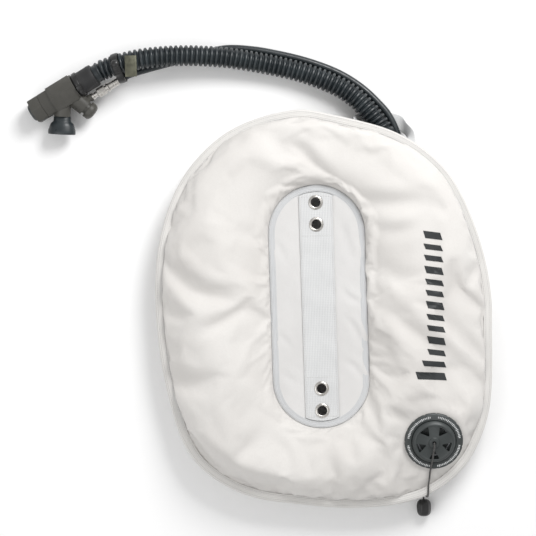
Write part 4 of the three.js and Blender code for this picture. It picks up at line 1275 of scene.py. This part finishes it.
# ---- Dump valve ----------------------------------------------------------------------------------
def make_valve():
    """The ring with its plain marks, the spoked cap and the spring under it."""
    outside, inside = VALVE_RADIUS, 33.1
    ring = turned([
        (inside, 0.3), (outside - 0.4, 0.3), (outside, 0.8), (outside, 3.4), (outside - 0.5, 4.3),
        (outside - 2.2, 5.3), (inside + 1.6, 5.5), (inside + 0.5, 5.2), (inside, 4.4),
    ], 112)
    grips = [("DIFFERENCE", moved(bar(20, 2.3, -1, 8), turn_z(12 + 24 * k)
                                  @ Matrix.Translation((outside + 1.35, 0, 0)))) for k in range(15)]
    piece("valve_grip_ring", carved(ring, *grips), "valve", place=VALVE,
          stands_for="valve_ring")
    marks = []
    for k in range(96):
        if k % 24 < 20:
            length = 3.8 if k % 4 == 1 else 2.6
            mark = block((length, 1.2, 0.3), (38.4, 0, 5.55))
            marks.append(moved(mark, turn_z(3.75 * k + 8)))
    piece("valve_marks", gathered(*marks), "mark", place=VALVE)
    cap = turned([
        (30.4, 0.4), (32.4, 0.4), (32.5, 6.6), (32.1, 7.6), (29.5, 10.4), (28.6, 11), (27.4, 11.1),
        (26.6, 10.4), (24, 9.7), (9.4, 9.7), (8.4, 10.2), (8, 11.6), (7.2, 12.4), (3.4, 12.4),
        (2.7, 11.9), (2.6, 9), (25, 9), (30, 8.6), (30.4, 8),
    ], 112)
    cuts = []
    for k in range(5):
        window = bar(3, 9.4, 4, 16, turn=math.radians(90))
        upright = [edge for edge in window.edges if abs((edge.verts[0].co - edge.verts[1].co).z) > 5]
        bmesh.ops.bevel(window, geom=upright, offset=2.6, segments=4, profile=0.5, affect="EDGES",
                        clamp_overlap=True, material=-1)
        turn = turn_z(54 + 72 * k)
        cuts.append(("DIFFERENCE", moved(window, turn @ Matrix.Translation((21, 0, 0)))))
    cap = carved(cap, *cuts)
    piece("valve_spoked_cap", softened(cap, 0.25, 1, 40), "valve", place=VALVE,
          stands_for="valve_cap")
    wire, _ = smooth_line(helix(6.25, 0.52, -2.1, 10.4, 48), 0.7)
    piece("valve_coil", tube_form(wire, 0.55, sides=10), "steel", place=VALVE,
          stands_for="valve_spring", smooth_angle=80)


# ---- Inflator ------------------------------------------------------------------------------------
BODY_PRISM = 20 / math.cos(math.pi / 6)
CAP_PRISM = 18 / math.cos(math.pi / 6)
SHAFT_HOLE = 3.6


def hexagon(radius, start, end):
    return bar(6, radius, start, end, turn=math.radians(30))


def make_inflator():
    """The moulded body: two prisms, the valve housing, the mouth tube and the coupling's boss, in one."""
    on_valve, on_oral = aim(VALVE_WAY, VALVE_ROOT), aim(ORAL_WAY, ORAL_ROOT)
    whole = moved(hexagon(BODY_PRISM, -39, 0), ALONG_X)
    steps = [
        ("UNION", moved(hexagon(CAP_PRISM, -55, -38.5), ALONG_X)),
        ("UNION", moved(bar(64, 20, -1, 2.3), ALONG_X)),
        ("UNION", moved(bar(48, 13, 1, 36), ALONG_X)),
        ("UNION", moved(bar(56, 13.5, 6, 36), on_valve)),
        ("UNION", moved(bar(56, 12.5, 6, 33.5), on_oral)),
        ("UNION", moved(bar(32, 6, -6, 14), Matrix.Translation(LP_OFFSET) @ ALONG_X)),
        ("DIFFERENCE", moved(bar(48, 10, 15, 40), on_valve)),
        ("DIFFERENCE", moved(bar(56, 13.5, 36, 44), on_valve)),
        ("DIFFERENCE", moved(bar(48, 9.5, 12, 36), on_oral)),
        ("DIFFERENCE", moved(bar(24, SHAFT_HOLE, -60, -45), ALONG_X)),
    ]
    whole = carved(whole, *steps)
    softened(whole, 1.0, 3, 24)
    piece("inflator_housing", whole, "inflator", place=INFLATOR,
          stands_for="inflator_body", smooth_angle=40)
    cap = carved(hexagon(CAP_PRISM, -73, -55.3),
                 ("DIFFERENCE", bar(56, 14, -80, -61)), ("DIFFERENCE", bar(24, SHAFT_HOLE, -65, -50)))
    softened(cap, 1.0, 3, 24)
    piece("inflator_end", cap, "inflator", place=ON_AXIS, stands_for="end_cap",
          smooth_angle=40)
    button = turned([
        (0, -77.5), (9.5, -77.5), (11.8, -77.2), (13, -76), (13.5, -74.4), (13.5, -69.5), (3.2, -69.5),
        (3.2, -52), (0, -52),
    ], 64)
    piece("deflate_key", button, "valve", body="deflate_valve", place=ON_AXIS,
          stands_for="deflate_button", smooth_angle=40)
    head = turned([
        (0, 25), (9.6, 25), (9.6, 40.2), (12.6, 40.2), (13, 40.7), (13, 46.5), (12.3, 49), (10.4, 51.2),
        (7.6, 52.6), (4, 53.1), (0, 53.2),
    ], 64)
    piece("inflate_key", head, "inflator", body="inflate_valve", place=ON_VALVE,
          stands_for="inflate_button", smooth_angle=40)
    profile = [
        (9.6, 33.8), (12.7, 33.8), (13.1, 34.3), (13.1, 39.8), (14, 41.4), (17.2, 44.2), (18.4, 47),
        (20.6, 54), (21, 56.5), (21, 59.6), (20.5, 60.3), (19.4, 60.3), (18.9, 59.4), (18.5, 55.4),
        (16.8, 49.5), (15, 46.4), (12.4, 44), (9.6, 42.2),
    ]
    mouth = moved(turned(profile, 72), Matrix.Diagonal((1, 0.72, 1, 1)))
    piece("mouthpiece_cup", mouth, "rubber", place=ON_ORAL, stands_for="mouthpiece",
          smooth_angle=55)


def knurled(radius, start, end, bore=5.5, teeth=26):
    """A grip about +Z with straight ribs."""
    turns = np.linspace(0, math.tau, teeth * 4 + 1)
    bump = radius - 0.28 * (1 - np.cos(turns * teeth)) / 2
    levels = [
        (start, 0.55), (start + 0.5, 0.05), (start + 1, 0), (end - 1, 0), (end - 0.5, 0.05), (end, 0.55),
    ]
    inside = np.full_like(turns, bore)
    rings = [(start, inside), *((z, bump - less) for z, less in levels), (end, inside), (start, inside)]
    across, along = np.cos(turns), np.sin(turns)
    table = np.array([np.stack([wide * across, wide * along, np.full_like(turns, z)], axis=1)
                      for z, wide in rings])
    return grid_form(table, wrap_u=True, wrap_v=True)


def make_coupling():
    nipple = turned([(1.8, 14.3), (5.2, 14.3), (5.5, 14.6), (5.5, 17.7), (5.2, 18), (4.3, 18.6), (4.3, 23.6),
                     (1.8, 23.6)], 40)
    piece("coupling_nipple", nipple, "nickel", place=ON_LP, stands_for="lp_nipple")
    travel = JOINTS["sleeve_slide"]["range_m"][1] * 1000
    piece("coupling_grip", knurled(7.3, 24.6, 41 - GAP - travel), "nickel", body="sleeve",
          place=ON_LP, stands_for="coupling_sleeve", smooth_angle=30)
    core = turned([
        (0, 23.9), (4.8, 23.9), (5.2, 24.3), (5.2, 41), (6.9, 41), (7.3, 41.4), (7.3, 43.6), (6.9, 44),
        (0, 44),
    ], 48)
    piece("coupling_core", core, "nickel", place=ON_LP, stands_for="coupling_body")
    profile = [(0, 44.3), (5.5, 44.3), (5.9, 44.7), (5.9, 50)]
    for groove in range(5):
        z = 52 + 3.6 * groove
        profile += [(5.9, z - 0.8), (5.45, z - 0.4), (5.45, z + 0.4), (5.9, z + 0.8)]
    profile += [(5.9, 71), (5.4, 72), (0, 72)]
    piece("crimped_ferrule", turned(profile, 48), "nickel", place=ON_LP,
          stands_for="hose_ferrule")


def make_small_springs():
    for name, place, radius, start, end in (("deflate_spring", ON_AXIS, 8.25, -64 - GAP, -61 - GAP),
                                            ("inflate_spring", ON_VALVE, 6.25, 15.4, 21.5)):
        wire, _ = smooth_line(helix(radius, math.tau / 12, start + 0.6, end - start - 1.2, 48), 0.9)
        piece(f"{name}_coil", tube_form(wire, 0.5, sides=8), "steel", place=place,
              stands_for=name, smooth_angle=80)


def dress_inner_pieces():
    """The pieces that keep their own form take their finish."""
    plain = {
        "valve_flange": "valve", "valve_body": "valve", "valve_poppet": "valve", "poppet_seal": "seal",
        "elbow": "valve", "elbow_flange": "valve", "elbow_nut": "valve", "exhaust_seal": "seal",
        "lp_fitting": "nickel", "fitting_o_ring": "seal",
    }
    for name, finish in plain.items():
        node = frame["nodes"].get(name)
        if node is not None:
            for slot in node.material_slots:
                slot.material = finished(finish)


# ---- Stage, light and camera ---------------------------------------------------------------------
FLOOR_DROP = 0.0004
LIGHT_TARGET = Vector((-0.05, 0.05, 0))
VIEW_CENTRE = (-0.0746, 0.0601)
VIEW_HALF = 0.402
VIEW_TURN = math.radians(-1.86)


def make_stage():
    sizes = bpy.context.scene.wing_sizes
    stage = bpy.data.materials.new("stage")
    stage.use_nodes = True
    surface = next(node for node in stage.node_tree.nodes if node.type == "BSDF_PRINCIPLED")
    surface.inputs["Base Color"].default_value = (0.93, 0.93, 0.93, 1)
    surface.inputs["Roughness"].default_value = 0.9
    form = bmesh.new()
    bmesh.ops.create_grid(form, x_segments=1, y_segments=1, size=sizes.floor_size / 2,
                          matrix=Matrix.Translation((0, 0, TABLE_Z / 1000 - FLOOR_DROP)))
    floor = loose_object(form, "floor")
    floor.data.materials.append(stage)
    world = bpy.data.worlds.new("studio")
    world.use_nodes = True
    background = next(node for node in world.node_tree.nodes if node.type == "BACKGROUND")
    background.inputs["Color"].default_value = (1, 1, 1, 1)
    background.inputs["Strength"].default_value = sizes.surround
    bpy.context.scene.world = world
    for name, place, power, width in (("key", (0.7, 1.35, 1.35), sizes.key_power, 1.0),
                                      ("fill", (-1.1, -0.6, 1.5), sizes.fill_power, 1.6)):
        data = bpy.data.lights.new(name, "AREA")
        data.energy = power
        data.shape = "DISK"
        data.size = width
        light = linked(name, data)
        light.location = place
        light.rotation_euler = (LIGHT_TARGET - Vector(place)).to_track_quat("-Z", "Y").to_euler()
    bpy.context.scene.view_settings.view_transform = "Standard"
    data = bpy.data.cameras.new("camera")
    data.angle = 2 * math.atan(VIEW_HALF / sizes.camera_height)
    camera = linked("camera", data)
    camera.location = (*VIEW_CENTRE, sizes.camera_height)
    camera.rotation_euler = (0, 0, VIEW_TURN)
    bpy.context.scene.camera = camera


# ---- The add-on ----------------------------------------------------------------------------------
class WingSizes(bpy.types.PropertyGroup):
    fabric_colour: FloatVectorProperty(
        name="Fabric colour", description="The colour of the wing's cloth", default=(0.71, 0.69, 0.665),
        subtype="COLOR", min=0, max=1, size=3)
    fabric_thickness: FloatProperty(
        name="Fabric thickness", description="The wall of the front and rear skins", default=0.0012,
        unit="LENGTH", subtype="DISTANCE", min=0.0005, max=0.003)
    gathers: FloatProperty(
        name="Gathers", description="Depth of the small gathers along both seams, in millimetres",
        default=1.6, min=0, max=4)
    crease_depth: FloatProperty(
        name="Crease depth", description="How strongly the front skin is creased", default=1.25,
        min=0, max=2, subtype="FACTOR")
    slack: FloatProperty(
        name="Slack", description="How much longer the skin's cloth is than its frame, as a share",
        default=0.035, min=0, max=0.2, subtype="FACTOR")
    air_pressure: FloatProperty(
        name="Air pressure", description="The pressure that holds the skin out while it settles",
        default=1.2, min=0, max=20)
    camera_height: FloatProperty(
        name="Camera height", description="How far above the origin the camera stands", default=2.8,
        unit="LENGTH", subtype="DISTANCE", min=1, max=6)
    key_power: FloatProperty(
        name="Key light", description="Power of the key light", default=32, unit="POWER", min=0, max=500)
    fill_power: FloatProperty(
        name="Fill light", description="Power of the fill light", default=9, unit="POWER", min=0, max=500)
    surround: FloatProperty(
        name="Surround", description="Brightness of the surrounding studio", default=0.57, min=0, max=4)
    floor_size: FloatProperty(
        name="Floor size", description="Side of the floor", default=12, unit="LENGTH", subtype="DISTANCE",
        min=1, max=40)


class WingOperator:
    """Shared by the operators, which run the builders of one group of pieces in order."""
    bl_options = {"REGISTER", "UNDO"}
    builders = ()

    def execute(self, context):
        for build in self.builders:
            build()
        return {"FINISHED"}


class WING_OT_stage(WingOperator, bpy.types.Operator):
    """Set up the floor, the lights and the camera"""
    bl_idname = "wing.stage"
    bl_label = "Stage"
    builders = (make_stage,)


class WING_OT_hoses(WingOperator, bpy.types.Operator):
    """Make the corrugated hose, the low-pressure hose, their keeper and their cuffs"""
    bl_idname = "wing.hoses"
    bl_label = "Hoses"
    builders = (make_keeper, make_hose, make_lp_hose, make_cuffs)


class WING_OT_pull(WingOperator, bpy.types.Operator):
    """Make the pull cord and its knob"""
    bl_idname = "wing.pull"
    bl_label = "Pull cord"
    builders = (make_knob, make_pull_cord)


class WING_OT_skins(WingOperator, bpy.types.Operator):
    """Make the two skins and the bladder between them"""
    bl_idname = "wing.skins"
    bl_label = "Skins"
    builders = (make_skins,)


class WING_OT_binding(WingOperator, bpy.types.Operator):
    """Make the binding round the rim and the webbing loop for the hoses"""
    bl_idname = "wing.binding"
    bl_label = "Binding and loop"
    builders = (make_binding, make_loop)


class WING_OT_panel(WingOperator, bpy.types.Operator):
    """Make the centre panel, its tapes, the webbing and the eyelets"""
    bl_idname = "wing.panel"
    bl_label = "Centre panel"
    builders = (make_panel, make_webbing, make_eyelets)


class WING_OT_bars(WingOperator, bpy.types.Operator):
    """Print the plain ladder of bars on the front skin"""
    bl_idname = "wing.bars"
    bl_label = "Printed bars"
    builders = (make_bars,)


class WING_OT_valve(WingOperator, bpy.types.Operator):
    """Make the dump valve's ring, marks, cap and spring"""
    bl_idname = "wing.valve"
    bl_label = "Dump valve"
    builders = (make_valve,)


class WING_OT_inflator(WingOperator, bpy.types.Operator):
    """Make the inflator, its buttons, springs, mouthpiece and coupling"""
    bl_idname = "wing.inflator"
    bl_label = "Inflator"
    builders = (make_inflator, make_coupling, make_small_springs)


class WING_OT_finishes(WingOperator, bpy.types.Operator):
    """Give the pieces that keep their own form their finish"""
    bl_idname = "wing.finishes"
    bl_label = "Finishes"
    builders = (dress_inner_pieces,)


OPERATORS = (WING_OT_stage, WING_OT_hoses, WING_OT_pull, WING_OT_skins, WING_OT_binding, WING_OT_panel,
             WING_OT_bars, WING_OT_valve, WING_OT_inflator, WING_OT_finishes)


class WING_PT_panel(bpy.types.Panel):
    """The wing's sizes and its builders"""
    bl_idname = "WING_PT_panel"
    bl_label = "Wing"
    bl_space_type = "VIEW_3D"
    bl_region_type = "UI"
    bl_category = "Wing"

    def draw(self, context):
        layout = self.layout
        for name in WingSizes.__annotations__:
            layout.prop(context.scene.wing_sizes, name)
        for operator in OPERATORS:
            layout.operator(operator.bl_idname)


def register():
    for thing in (WingSizes, *OPERATORS, WING_PT_panel):
        bpy.utils.register_class(thing)
    bpy.types.Scene.wing_sizes = PointerProperty(type=WingSizes)


def unregister():
    del bpy.types.Scene.wing_sizes
    for thing in reversed((WingSizes, *OPERATORS, WING_PT_panel)):
        bpy.utils.unregister_class(thing)


def main():
    register()
    for operator in OPERATORS:
        group, name = operator.bl_idname.split(".")
        getattr(getattr(bpy.ops, group), name)()


if __name__ == "__main__":
    main()
